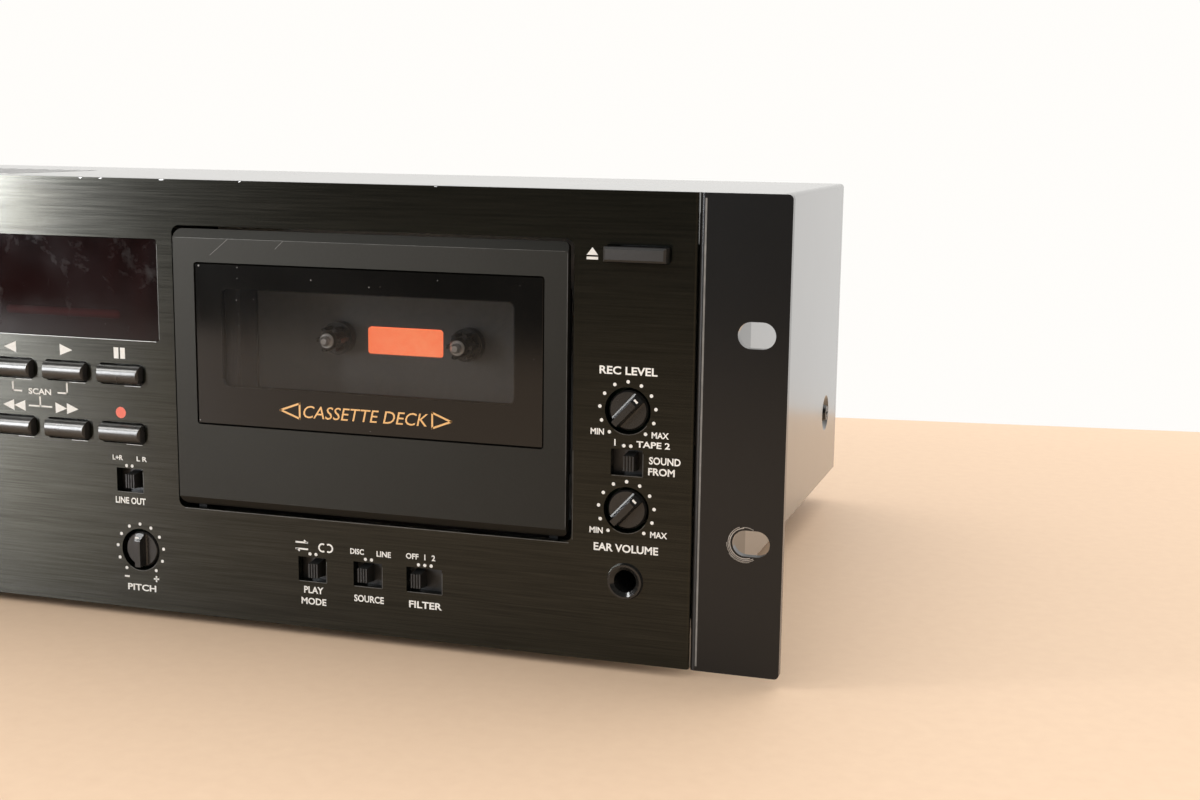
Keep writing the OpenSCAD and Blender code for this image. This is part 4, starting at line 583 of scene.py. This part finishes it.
dress(jack_plastic, "phones_jack", "mains_inlet")
print("keys", len(ending("_key")), "knobs", len(ending("_knob")), "switches", len(ending("_switch")))

# %% [markdown]
# ## Electronics and drive
# Most of these pieces show only when the cover is off. Each gets the finish that it has in such a
# deck: green boards, a laminated core, plated sockets, brass and rubber. Tracks and laminations
# could be modelled one by one, but a stretched grain is enough here.

# %% Electronics and drive
board = finish("circuit_board", (0.006, 0.045, 0.018), (0.012, 0.085, 0.03), (0.3, 0.4),
               grain=180.0, stretch=(6.0, 1.0, 1.0), bump=0.1, patch=90.0)
dress(board, "front_boards", "main_board")
core = finish("transformer_core", (0.05, 0.04, 0.03), (0.16, 0.12, 0.08), (0.45, 0.6),
              grain=90.0, stretch=(1.0, 14.0, 1.0), bump=0.25, bump_mm=0.1, patch=30.0, metallic=0.3)
dress(core, "power_transformer")
plating = finish("socket_plating", (0.55, 0.54, 0.5), (0.72, 0.7, 0.66), (0.18, 0.3),
                 grain=700.0, bump=0.02, patch=60.0, metallic=1.0)
dress(plating, "rca_sockets")
motor_steel = finish("motor_steel", (0.4, 0.4, 0.39), (0.55, 0.55, 0.53), (0.28, 0.4),
                     grain=300.0, bump=0.02, patch=40.0, metallic=1.0)
dress(motor_steel, "capstan_motor")
brass = finish("pulley_brass", (0.6, 0.42, 0.16), (0.76, 0.56, 0.24), (0.2, 0.32),
               grain=400.0, bump=0.02, patch=60.0, metallic=1.0)
dress(brass, "motor_pulley")
belt_rubber = finish("belt_rubber", (0.012, 0.012, 0.012), (0.02, 0.02, 0.019), (0.6, 0.7),
                     grain=900.0, bump=0.08, patch=50.0)
dress(belt_rubber, "drive_belt")
print("finishes so far", len(FINISHES))

# %% [markdown]
# ## Disc drawer and its works
# The drawer is moulded in black with a fine spark-eroded grain and shows when it is out. The
# frame under it is grey, the clamp above it a paler plastic, the turntable bright metal. These
# are the last solids, so the cell also looks for any that has no finish yet.

# %% Disc drawer and its works
tray_plastic = finish("tray_plastic", (0.013, 0.0128, 0.012), (0.022, 0.0215, 0.02), (0.42, 0.52),
                      grain=1300.0, bump=0.12, patch=20.0)
dress(tray_plastic, "cd_tray")
loader_plastic = finish("loader_plastic", (0.2, 0.195, 0.185), (0.28, 0.272, 0.26), (0.45, 0.55),
                        grain=900.0, bump=0.08, patch=18.0)
dress(loader_plastic, "cd_loader")
turntable_metal = finish("turntable_metal", (0.5, 0.5, 0.49), (0.66, 0.66, 0.64), (0.2, 0.3),
                         grain=500.0, bump=0.02, patch=50.0, metallic=1.0)
dress(turntable_metal, "cd_turntable")
clamp_plastic = finish("clamp_plastic", (0.52, 0.51, 0.48), (0.64, 0.63, 0.6), (0.4, 0.5),
                       grain=800.0, bump=0.05, patch=30.0)
dress(clamp_plastic, "cd_clamper")
pickup_metal = finish("pickup_metal", (0.04, 0.05, 0.058), (0.08, 0.095, 0.105), (0.35, 0.48),
                      grain=600.0, bump=0.06, patch=50.0, metallic=0.5)
dress(pickup_metal, "optical_pickup")
made = [kit["material"] for kit in FINISHES.values()]
bare = [name for name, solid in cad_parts.items() if solid.data.materials[0] not in made]
print("finishes so far", len(FINISHES), "bare nodes", bare)

# %% [markdown]
# ## Dots and scales
# The marks on the plate are silk-screened: flat ink a few hundredths of a millimetre thick. A
# picture on the plate could hold them, but it would blur up close, so each mark is a thin closed
# solid that lies on the plate and sinks into it by a hair. Round each knob runs a scale of eleven
# dots, 28 degrees apart, and each switch has one dot per setting.

# %% Ink on a face
INK = 0.03
INK_SINK = 0.01
INK_THICK = INK + INK_SINK
UPRIGHT = Matrix.Rotation(math.radians(90.0), 4, "X")
FACING_BACK = Matrix.Rotation(math.radians(180.0), 4, "Z")


def ink_place(x, z, d, turn=0.0, back=False):
    """The matrix that lays a mark drawn in X and Y on a face at depth d, of the front or the back."""
    flat = Matrix.Rotation(math.radians(turn), 4, "Z")
    lift = (INK - INK_SINK) / 2
    if back:
        return Matrix.Translation(at(x, z, d + lift)) @ FACING_BACK @ UPRIGHT @ flat
    return Matrix.Translation(at(x, z, d - lift)) @ UPRIGHT @ flat


print("ink", INK, "mm proud and", INK_SINK, "mm sunk")

# %% Dots and scales
DOT_R = 0.5
SCALE_R = 8.1
SCALE_STEP = 28.0
SCALE_HALF = 5
KNOB_PLACES = [(196.95, 72.25), (196.95, 44.2), (40.9, 18.7)]
SWITCH_DOTS = [
    (36.86, 44.9), (38.85, 44.9), (98.95, 22.65), (100.93, 22.65), (117.07, 22.65), (119.04, 22.65),
    (134.07, 22.6), (136.07, 22.6), (138.09, 22.6), (196.0, 62.4), (198.0, 62.4),
]


def ink_disc(bm, x, z, r, d=0.0, sides=20, shape=None, turn=0.0):
    """A printed dot; with few sides and a matrix for its shape it is a polygon."""
    matrix = ink_place(x, z, d, turn) @ (shape or Matrix.Identity(4))
    bmesh.ops.create_cone(bm, cap_ends=True, segments=sides, radius1=r * MM, radius2=r * MM,
                          depth=INK_THICK * MM, matrix=matrix)


marks = bmesh.new()
for x, z in KNOB_PLACES:
    for i in range(-SCALE_HALF, SCALE_HALF + 1):
        a = math.radians(i * SCALE_STEP)
        ink_disc(marks, x + SCALE_R * math.sin(a), z + SCALE_R * math.cos(a), DOT_R)
for x, z in SWITCH_DOTS:
    ink_disc(marks, x, z, DOT_R)
print("dots", len(KNOB_PLACES) * (2 * SCALE_HALF + 1) + len(SWITCH_DOTS))

# %% [markdown]
# ## Signs of the tape keys
# The keys carry the signs that every deck has: triangles, bars and squares. Each kind has one
# size, so a sign is a place and a direction. Bars are flattened cubes, and a triangle is a dot with
# three sides: at a radius of 1 its base is the root of 3, its reach is 1.5 and its middle lies 0.25
# up, so it is lowered by that and drawn out to the size of the sign.

# %% Signs of the tape keys
UPPER_Z, LOWER_Z = 79.7, 61.35
RIGHT, LEFT, UP = -90.0, 90.0, 0.0
PLAY = (4.4, 3.5)
WIND = (4.1, 3.4)
EJECT, EJECT_BAR, EJECT_BAR_DROP = (2.1, 3.3), (3.3, 0.75), 1.9
EJECT_X, EJECT_Z = 186.2, 115.85
STOP = (3.3, 3.3)
PAUSE_X, PAUSE_HALF, PAUSE_BAR = 35.7, 1.125, (1.65, 3.4)
TRIANGLE_BASE, TRIANGLE_REACH, TRIANGLE_RISE = math.sqrt(3.0), 1.5, 0.25


def ink_bar(bm, x, z, w, h, d=0.0, turn=0.0):
    """A printed bar, w wide and h high."""
    size = Matrix.Diagonal((w * MM, h * MM, INK_THICK * MM, 1.0))
    bmesh.ops.create_cube(bm, size=1.0, matrix=ink_place(x, z, d, turn) @ size)


def ink_triangle(bm, x, z, reach, base, turn):
    """A printed triangle as long as its reach, turned from pointing up, its box about x and z."""
    size = Matrix.Diagonal((base / TRIANGLE_BASE, reach / TRIANGLE_REACH, 1.0, 1.0))
    centred = size @ Matrix.Translation((0.0, -TRIANGLE_RISE * MM, 0.0))
    ink_disc(bm, x, z, 1.0, sides=3, shape=centred, turn=turn)


ink_triangle(marks, 16.8, UPPER_Z, *PLAY, RIGHT)
ink_triangle(marks, -3.5, UPPER_Z, *PLAY, LEFT)
ink_bar(marks, -22.15, UPPER_Z, *STOP)
for side in (-1, 1):
    ink_bar(marks, PAUSE_X + side * PAUSE_HALF, UPPER_Z, *PAUSE_BAR)
    ink_triangle(marks, 16.3 + side * WIND[0] / 2, LOWER_Z, *WIND, RIGHT)
    ink_triangle(marks, -2.9 + side * WIND[0] / 2, LOWER_Z, *WIND, LEFT)
ink_triangle(marks, EJECT_X, EJECT_Z, *EJECT, UP)
ink_bar(marks, EJECT_X, EJECT_Z - EJECT_BAR_DROP, *EJECT_BAR)
print("tape signs", len(marks.faces), "faces so far")

# %% [markdown]
# ## Brackets and switch signs
# A bracket ties the scan label to the keys above and below it, two half arrows above the mode
# switch stand for one way, and a minus and a plus mark the ends of the pitch scale. All of them
# are lines, and a line is a bar laid from one place to another.

# %% Brackets and switch signs
LINE = 0.5
BARB = 0.45
ONE_WAY_LEFT, ONE_WAY_RIGHT = 94.5, 98.1
PITCH_Z, MINUS_X, PLUS_X = 9.8, 35.7, 46.1
MINUS_REACH, PLUS_REACH = 1.7, 1.9
BRACKET = [
    (-3.1, 68.6, -3.1, 66.0), (-3.1, 66.0, 0.0, 66.0), (13.4, 66.1, 16.6, 66.1),
    (16.6, 66.1, 16.6, 69.2), (6.7, 64.3, 6.7, 61.5), (2.7, 61.5, 10.7, 61.5),
]


def ink_line(bm, x0, z0, x1, z1, width, d=0.0):
    """A printed line from one place to another."""
    reach = math.hypot(x1 - x0, z1 - z0)
    turn = math.degrees(math.atan2(z1 - z0, x1 - x0))
    ink_bar(bm, (x0 + x1) / 2, (z0 + z1) / 2, reach + width, width, d, turn)


for x0, z0, x1, z1 in BRACKET:
    ink_line(marks, x0, z0, x1, z1, LINE)
for z, tip, back, rise in ((26.0, 97.9, -0.7, 0.55), (24.0, 94.7, 0.7, -0.55)):
    ink_line(marks, ONE_WAY_LEFT, z, ONE_WAY_RIGHT, z, LINE)
    ink_line(marks, tip, z, tip + back, z + rise, BARB)
ink_bar(marks, MINUS_X, PITCH_Z, MINUS_REACH, LINE)
ink_bar(marks, PLUS_X, PITCH_Z, PLUS_REACH, LINE)
ink_bar(marks, PLUS_X, PITCH_Z, LINE, PLUS_REACH)
print("brackets and signs", len(marks.faces), "faces so far")

# %% [markdown]
# ## Round signs
# The other sign above the mode switch stands for round and round: two arcs that face each other.
# The mains switch has a broken ring with a bar. A torus would be cut open for it; spinning a small
# upright section through the right angle gives the arc at once.

# %% Round signs
ARC_STEP = 12.0
ARC_LEAST_STEPS = 6
ROUND_Z, ROUND_R, ROUND_SWEEP = 24.9, 1.15, 240.0
POWER_X, POWER_Z, POWER_R = -196.0, 33.6, 1.6
POWER_BAR_Z, POWER_BAR_HIGH = 35.0, 1.9


def ink_arc(bm, x, z, r, width, start, sweep):
    """A printed arc: a small upright section spun round the middle, in degrees from the right."""
    work = bmesh.new()
    size = Matrix.Diagonal((width * MM, INK_THICK * MM, 1.0, 1.0))
    section = Matrix.Translation((r * MM, 0.0, 0.0)) @ UPRIGHT @ size
    bmesh.ops.create_grid(work, x_segments=1, y_segments=1, size=0.5, matrix=section)
    bmesh.ops.rotate(work, matrix=Matrix.Rotation(math.radians(start), 3, "Z"), verts=work.verts)
    bmesh.ops.spin(work, geom=work.verts[:] + work.edges[:] + work.faces[:], axis=(0.0, 0.0, 1.0),
                   cent=(0.0, 0.0, 0.0), angle=math.radians(sweep),
                   steps=max(ARC_LEAST_STEPS, int(sweep / ARC_STEP)))
    shape = bpy.data.meshes.new("arc")
    work.to_mesh(shape)
    work.free()
    shape.transform(ink_place(x, z, 0.0))
    bm.from_mesh(shape)
    bpy.data.meshes.remove(shape)


for x, start in ((103.1, 60.0), (105.2, 240.0)):
    ink_arc(marks, x, ROUND_Z, ROUND_R, LINE, start, ROUND_SWEEP)
ink_arc(marks, POWER_X, POWER_Z, POWER_R, LINE, start=125.0, sweep=290.0)
ink_bar(marks, POWER_X, POWER_BAR_Z, LINE, POWER_BAR_HIGH)
print("round signs", len(marks.faces), "faces so far")

# %% [markdown]
# ## Signs on the disc side
# The left half of the deck is outside the picture. Its keys get the same kind of signs, set
# above them at the same heights, as a maker would who has one set of films for both halves.

# %% Signs on the disc side
STOP_X, PLAY_X, OPEN_X = -157.4, -138.0, -118.6
OPEN_Z = 80.35
THIN_PAUSE_BAR = (0.9, 3.4)
SKIP = (3.8, 3.4)
SKIP_BAR, SKIP_BAR_REACH = (0.7, 3.4), 4.2
ink_bar(marks, STOP_X, UPPER_Z, *STOP)
ink_triangle(marks, -139.6, UPPER_Z, *PLAY, RIGHT)
for x in (-136.2, -134.7):
    ink_bar(marks, x, UPPER_Z, *THIN_PAUSE_BAR)
ink_triangle(marks, OPEN_X, OPEN_Z, *EJECT, UP)
ink_bar(marks, OPEN_X, OPEN_Z - EJECT_BAR_DROP, *EJECT_BAR)
for x, way, outer in ((STOP_X, LEFT, -1), (PLAY_X, RIGHT, 1)):
    for side in (-1, 1):
        ink_triangle(marks, x + side * SKIP[0] / 2, LOWER_Z, *SKIP, way)
    ink_bar(marks, x + outer * SKIP_BAR_REACH, LOWER_Z, *SKIP_BAR)
print("all signs", len(marks.faces), "faces")

# %% [markdown]
# ## Sheets of print
# The marks of one colour on one body are gathered in one bmesh, so a sheet of print is one piece,
# as one pass of the printer's screen is. Each mark could be an object of its own, but about eighty
# objects would then ride on the case. The red dot of the record key takes another ink, so it is a
# sheet of its own.

# %% Sheets of print
RECORD_X, RECORD_R, RECORD_SIDES = 35.5, 1.75, 28


def print_sheet(bm, name, ink, body):
    """Turns a bmesh of marks into one piece that rides on a body."""
    bmesh.ops.recalc_face_normals(bm, faces=bm.faces)
    mesh = bpy.data.meshes.new(name)
    bm.to_mesh(mesh)
    bm.free()
    mesh.materials.append(ink["material"])
    piece = bpy.data.objects.new(name, mesh)
    bpy.context.scene.collection.objects.link(piece)
    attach(piece, body)
    print(name, len(mesh.polygons), "faces")


white_ink = finish("white_ink", (0.80, 0.81, 0.79), (0.92, 0.93, 0.92), (0.5, 0.6),
                   grain=1500.0, bump=0.0, patch=60.0)
print_sheet(marks, "panel_marks", white_ink, "case")
red_ink = finish("red_ink", (0.85, 0.13, 0.065), (0.95, 0.17, 0.09), (0.45, 0.55),
                 grain=1500.0, bump=0.0, patch=80.0)
record_dot = bmesh.new()
ink_disc(record_dot, RECORD_X, LOWER_Z, RECORD_R, sides=RECORD_SIDES)
print_sheet(record_dot, "record_dot", red_ink, "case")

# %% [markdown]
# ## Lettering
# Only plain words and numbers that any deck could carry are printed: MIN and MAX at the ends
# of a scale, OFF, 1 and 2 at the settings of a switch. Letters are Blender's own text, made a mesh
# before it is sized and laid in place. Each word has a place, a height and the width that the
# plate has room for.

# %% Letters
LETTER_WEIGHT = 0.025
LETTER_STEPS = 3


def ink_word(bm, text, x, z, cap, width=None, d=0.0, slant=0.0, weight=LETTER_WEIGHT, back=False):
    """Printed letters with capitals of a given height, drawn out to a given width."""
    curve = bpy.data.curves.new("letters", "FONT")
    curve.body = text
    curve.shear = slant
    curve.offset = weight
    curve.resolution_u = LETTER_STEPS
    curve.extrude = 0.5
    sample = bpy.data.objects.new("letters", curve)
    bpy.context.scene.collection.objects.link(sample)
    bpy.context.view_layer.update()
    shape = bpy.data.meshes.new_from_object(sample.evaluated_get(bpy.context.evaluated_depsgraph_get()))
    xs = [v.co.x for v in shape.vertices]
    ys = [v.co.y for v in shape.vertices]
    tall = cap / (max(ys) - min(ys))
    wide = tall if width is None else width / (max(xs) - min(xs))
    middle = Matrix.Translation((-(max(xs) + min(xs)) / 2, -(max(ys) + min(ys)) / 2, 0.0))
    size = Matrix.Diagonal((wide * MM, tall * MM, INK_THICK * MM, 1.0))
    shape.transform(ink_place(x, z, d, back=back) @ size @ middle)
    bm.from_mesh(shape)
    bpy.data.objects.remove(sample)
    bpy.data.curves.remove(curve)
    bpy.data.meshes.remove(shape)


words = bmesh.new()
ink_word(words, "REC LEVEL", 196.96, 83.36, 2.3, 16.6)
print("first word", len(words.faces), "faces")

# %% Lettering
WORDS = [
    ("MIN", 188.24, 65.96, 1.75, 3.9), ("MAX", 206.35, 65.89, 1.75, 4.9),
    ("MIN", 188.26, 37.83, 1.75, 3.9), ("MAX", 206.44, 37.8, 1.75, 4.9),
    ("EAR VOLUME", 197.0, 33.14, 2.3, 18.8), ("1", 193.4, 63.2, 1.8, None),
    ("TAPE 2", 204.4, 63.1, 1.8, 9.6), ("SOUND", 207.8, 58.74, 2.1, 9.0), ("FROM", 206.9, 55.65, 2.1, 7.6),
    ("L+R", 33.84, 47.25, 1.5, 3.6), ("L R", 42.28, 47.3, 1.5, 3.6), ("LINE OUT", 37.9, 33.96, 2.1, 10.6),
    ("PITCH", 40.9, 6.6, 2.1, 10.0), ("PLAY", 100.0, 11.6, 2.1, 6.4), ("MODE", 100.0, 8.1, 2.1, 8.2),
    ("DISC", 114.4, 24.8, 1.7, 4.4), ("LINE", 123.0, 24.7, 1.7, 4.6), ("SOURCE", 118.1, 10.6, 2.1, 9.6),
    ("OFF", 132.1, 25.0, 1.7, 4.0), ("1", 136.1, 25.0, 1.7, None), ("2", 138.8, 25.0, 1.7, None),
    ("FILTER", 136.2, 10.56, 2.1, 10.4), ("SCAN", 6.68, 66.1, 1.9, 8.2), ("POWER", POWER_X, 15.0, 2.1, 9.6),
]
for text, x, z, cap, width in WORDS:
    ink_word(words, text, x, z, cap, width)
print_sheet(words, "panel_words", white_ink, "case")

# %% [markdown]
# ## Rear print
# The back is not shown. The sockets and the inlet get the plain letters that such sockets have:
# one column for each pair, left above right. They are made as on the front and turned to face back.

# %% Rear print
REAR_FACE = 241.0
SOCKET_COLUMNS = (141.0, 127.0, 113.0, 99.0)
REAR_WORDS = [(text, x, 63.6, 2.4) for text, x in zip(("IN", "OUT", "IN", "OUT"), SOCKET_COLUMNS)]
REAR_WORDS += [("L", 154.0, 51.0, 2.6), ("R", 154.0, 37.0, 2.6), ("AC IN", -170.0, 61.0, 2.8)]
rear = bmesh.new()
for text, x, z, cap in REAR_WORDS:
    ink_word(rear, text, x, z, cap, d=REAR_FACE, back=True)
print_sheet(rear, "rear_words", white_ink, "case")

# %% [markdown]
# ## Lens print
# A gold line of letters between two outlined triangles runs under the clear part of the lens.
# It could be a part of the lens's finish, but letters have sharp edges, so it is ink like the
# rest. It is printed on the lens, so it rides on the door and swings out with it.

# %% Lens print
LENS_FACE = -1.4
OUTLINE = 0.55
ARROW_TIP_Z, ARROW_TOP_Z, ARROW_FOOT_Z = 65.95, 68.2, 63.7
gold_ink = finish("gold_ink", (0.82, 0.46, 0.15), (0.96, 0.57, 0.21), (0.4, 0.5),
                  grain=1500.0, bump=0.0, patch=80.0)
gold = bmesh.new()
ink_word(gold, "CASSETTE DECK", 118.1, 65.9, 3.7, 39.6, d=LENS_FACE, slant=0.22, weight=0.0)
for base, tip in ((97.1, 90.9), (139.2, 145.0)):
    corners = [(tip, ARROW_TIP_Z), (base, ARROW_TOP_Z), (base, ARROW_FOOT_Z)]
    for (x0, z0), (x1, z1) in zip(corners, corners[1:] + corners[:1]):
        ink_line(gold, x0, z0, x1, z1, OUTLINE, d=LENS_FACE)
print_sheet(gold, "lens_words", gold_ink, "door")

# %% [markdown]
# ## Bare metal and painted highlights
# The deck has been carried in and out of racks. A few chips along the top edge of the plate show
# bare aluminium, and a rack screw has scraped rings into the paint round one slot. The thin light
# lines under the key holes and under the display window are painted highlights, where those edges
# catch the light. All of it lies on the metal like ink, so the printing tools make it.

# %% Bare metal and painted highlights
KEY_COLUMNS = (-22.15, -2.75, 16.65, 36.05)
KEY_HOLES = [(x, 73.2) for x in KEY_COLUMNS] + [(x, 55.1) for x in KEY_COLUMNS[1:]]
KEY_HOLE_DROP = 3.5
KEY_HIGHLIGHT_FROM, KEY_HIGHLIGHT_TO, KEY_HIGHLIGHT_WIDTH = 1.0, 6.6, 0.12
SILL_LEFT, SILL_RIGHT, SILL_Z, SILL_WIDTH = -57.0, 48.6, 83.75, 0.14
CHIPS = ((24.0, 24.6), (30.9, 31.6), (51.5, 52.8), (78.0, 78.4), (139.6, 140.2))
CHIP_LOW_Z, CHIP_HIGH_Z, CHIP_WIDTH = 132.25, 132.3, 0.26
SLOT_X, SLOT_Z = 230.9, 37.675
RINGS = ((4.3, 0.28, 95.0, 195.0), (4.75, 0.2, 110.0, 190.0), (5.15, 0.14, 180.0, 120.0),
         (4.5, 0.14, 60.0, 40.0), (5.4, 0.1, 215.0, 70.0))
bare_metal_and_highlight = finish("bare_metal_and_highlight", (0.30, 0.30, 0.29), (0.55, 0.545, 0.53), (0.3, 0.45),
                    grain=260.0, stretch=(1.0, 1.0, 6.0), bump=0.0, patch=300.0, metallic=0.8)
worn_and_edge_highlights = bmesh.new()
# Painted highlights: a thin light line along the lower edge of each key hole, where it catches the light.
for x, z in KEY_HOLES:
    edge_z = z - KEY_HOLE_DROP
    ink_line(worn_and_edge_highlights, x + KEY_HIGHLIGHT_FROM, edge_z, x + KEY_HIGHLIGHT_TO, edge_z, KEY_HIGHLIGHT_WIDTH)
# Painted highlight: a thin light line along the lower edge of the display window.
ink_line(worn_and_edge_highlights, SILL_LEFT, SILL_Z, SILL_RIGHT, SILL_Z, SILL_WIDTH)
for x0, x1 in CHIPS:
    ink_line(worn_and_edge_highlights, x0, CHIP_LOW_Z, x1, CHIP_HIGH_Z, CHIP_WIDTH)
for r, width, start, sweep in RINGS:
    ink_arc(worn_and_edge_highlights, SLOT_X, SLOT_Z, r, width, start, sweep)
print_sheet(worn_and_edge_highlights, "worn_metal_and_edge_highlights", bare_metal_and_highlight, "case")

# %% [markdown]
# ## Painted edge highlights
# Some edges catch the light and show as dull grey lines: along the right and lower edges of the
# openings, which face the light, and as an arc under each knob. These lines are painted highlights.
# A bevel on the plate would catch light everywhere, but the highlights show only in places, so they
# are drawn there.

# %% Painted edge highlights
OPENING_HIGHLIGHTS = [
    (57.0, 33.35, 180.0, 33.35, 0.25), (49.8, 84.6, 49.8, 113.0, 0.2), (181.2, 34.5, 181.2, 60.0, 0.2),
]
SWITCH_HIGHLIGHT, SWITCH_DROP, SWITCH_SIDE = 0.22, 3.82, 0.12
KNOB_HOLE_R, KNOB_HIGHLIGHT, KNOB_ARC = 6.75, 0.2, (235.0, 90.0)
SWITCH_HOLES = [
    (37.9, 40.4, 9.2), (99.65, 17.95, 9.2), (117.75, 18.05, 9.2), (135.8, 18.0, 11.2), (196.85, 57.7, 9.2),
]
painted_edge_highlight = finish("painted_edge_highlight", (0.045, 0.044, 0.04), (0.1, 0.098, 0.09), (0.35, 0.5),
                   grain=260.0, bump=0.0, patch=160.0, metallic=0.6)
# Painted highlights: grey lines where the edges of the openings and the knob holes catch the light.
edge_highlights = bmesh.new()
for edge in OPENING_HIGHLIGHTS:
    ink_line(edge_highlights, *edge)
for x, z, w in SWITCH_HOLES:
    end = x + w / 2
    ink_line(edge_highlights, x - w / 2 + 0.4, z - SWITCH_DROP, end - 0.1, z - SWITCH_DROP, SWITCH_HIGHLIGHT)
    ink_line(edge_highlights, end + SWITCH_SIDE, z - 3.6, end + SWITCH_SIDE, z + 2.6, SWITCH_HIGHLIGHT)
for x, z in KNOB_PLACES:
    ink_arc(edge_highlights, x, z, KNOB_HOLE_R, KNOB_HIGHLIGHT, *KNOB_ARC)
print_sheet(edge_highlights, "painted_edge_highlights", painted_edge_highlight, "case")

# %% [markdown]
# ## Scratches, dust and painted edge highlights on the door
# Two fine scratches run across the door's upper bar. Thin lighter lines along its upper and right
# edges are painted highlights, where those edges catch the light. A few larger grains of dust lie on
# the lens. A noise could scatter the dust, but it shows in a few places only, so each grain is a
# disc. All of it rides on the door.

# %% Scratches, dust and painted edge highlights on the door
DOOR_FACE = -1.5
SCRATCHES = [(68.7, 110.75, 74.5, 115.45, 0.1), (90.1, 113.2, 92.75, 115.6, 0.1)]
DOOR_EDGE_HIGHLIGHTS = [(57.2, 115.6, 178.8, 115.6, 0.12), (179.6, 38.2, 179.6, 115.0, 0.16)]
DUST_SIDES = 8
DUST = [
    (64.7, 107.5, 0.3), (63.9, 61.2, 0.22), (77.5, 107.4, 0.16), (77.4, 104.2, 0.12), (77.0, 97.8, 0.2),
    (77.6, 93.7, 0.12), (77.7, 90.2, 0.14), (82.7, 98.2, 0.16), (101.4, 104.6, 0.2), (119.8, 103.3, 0.18),
    (141.0, 106.1, 0.14), (92.3, 84.1, 0.12),
]
# A grey for the real scratches and dust on the door, and for the painted highlight on the ear folds.
scratch_and_highlight_grey = finish("scratch_and_highlight_grey", (0.14, 0.139, 0.135), (0.26, 0.258, 0.25), (0.4, 0.5),
                      grain=500.0, bump=0.0, patch=200.0)
scratch = bmesh.new()
for hair in SCRATCHES:
    ink_line(scratch, *hair, d=DOOR_FACE)
print_sheet(scratch, "door_scratches", scratch_and_highlight_grey, "door")
# Painted highlights: thin light lines along the door's upper and right edges.
door_highlights = bmesh.new()
for edge in DOOR_EDGE_HIGHLIGHTS:
    ink_line(door_highlights, *edge, d=DOOR_FACE)
print_sheet(door_highlights, "door_edge_highlights", painted_edge_highlight, "door")
dust = bmesh.new()
for x, z, r in DUST:
    ink_disc(dust, x, z, r, d=LENS_FACE, sides=DUST_SIDES)
print_sheet(dust, "lens_dust", scratch_and_highlight_grey, "door")

# %% [markdown]
# ## Painted highlights on the ear folds
# Each ear is one sheet folded beside the plate, and its fold catches the light as a thin grey
# line, a painted highlight. A lighter coat on the whole ear would grey its front too, so the fold
# gets a thin line.

# %% Painted highlights on the ear folds
FOLD_X, FOLD_LOW, FOLD_HIGH, FOLD_WIDTH = 217.85, 1.6, 130.8, 0.5
# Painted highlight: a thin grey line along the fold of each ear.
fold_highlights = bmesh.new()
for x in (-FOLD_X, FOLD_X):
    ink_line(fold_highlights, x, FOLD_LOW, x, FOLD_HIGH, FOLD_WIDTH)
print_sheet(fold_highlights, "ear_fold_highlights", scratch_and_highlight_grey, "case")

# %% [markdown]
# ## Knob pointers
# Each knob gets a short white line across its grip bar near the end that points at the scale. Two
# of the knobs stand turned, so the line is laid at the same angle. It rides on the knob and turns with it.

# %% Knob pointers
BAR_FACE = -2.0
POINTER_R = 4.2
POINTER = (1.3, 0.6)
KNOB_TURNS = {"input_level_knob": 43.0, "phones_level_knob": 43.0, "tape_speed_knob": 0.0}
for (name, turn), (x, z) in zip(KNOB_TURNS.items(), KNOB_PLACES):
    line = bmesh.new()
    a = math.radians(turn)
    tip_x, tip_z = x + POINTER_R * math.sin(a), z + POINTER_R * math.cos(a)
    ink_bar(line, tip_x, tip_z, *POINTER, d=BAR_FACE, turn=-turn)
    print_sheet(line, name + "_line", white_ink, name + "_body")
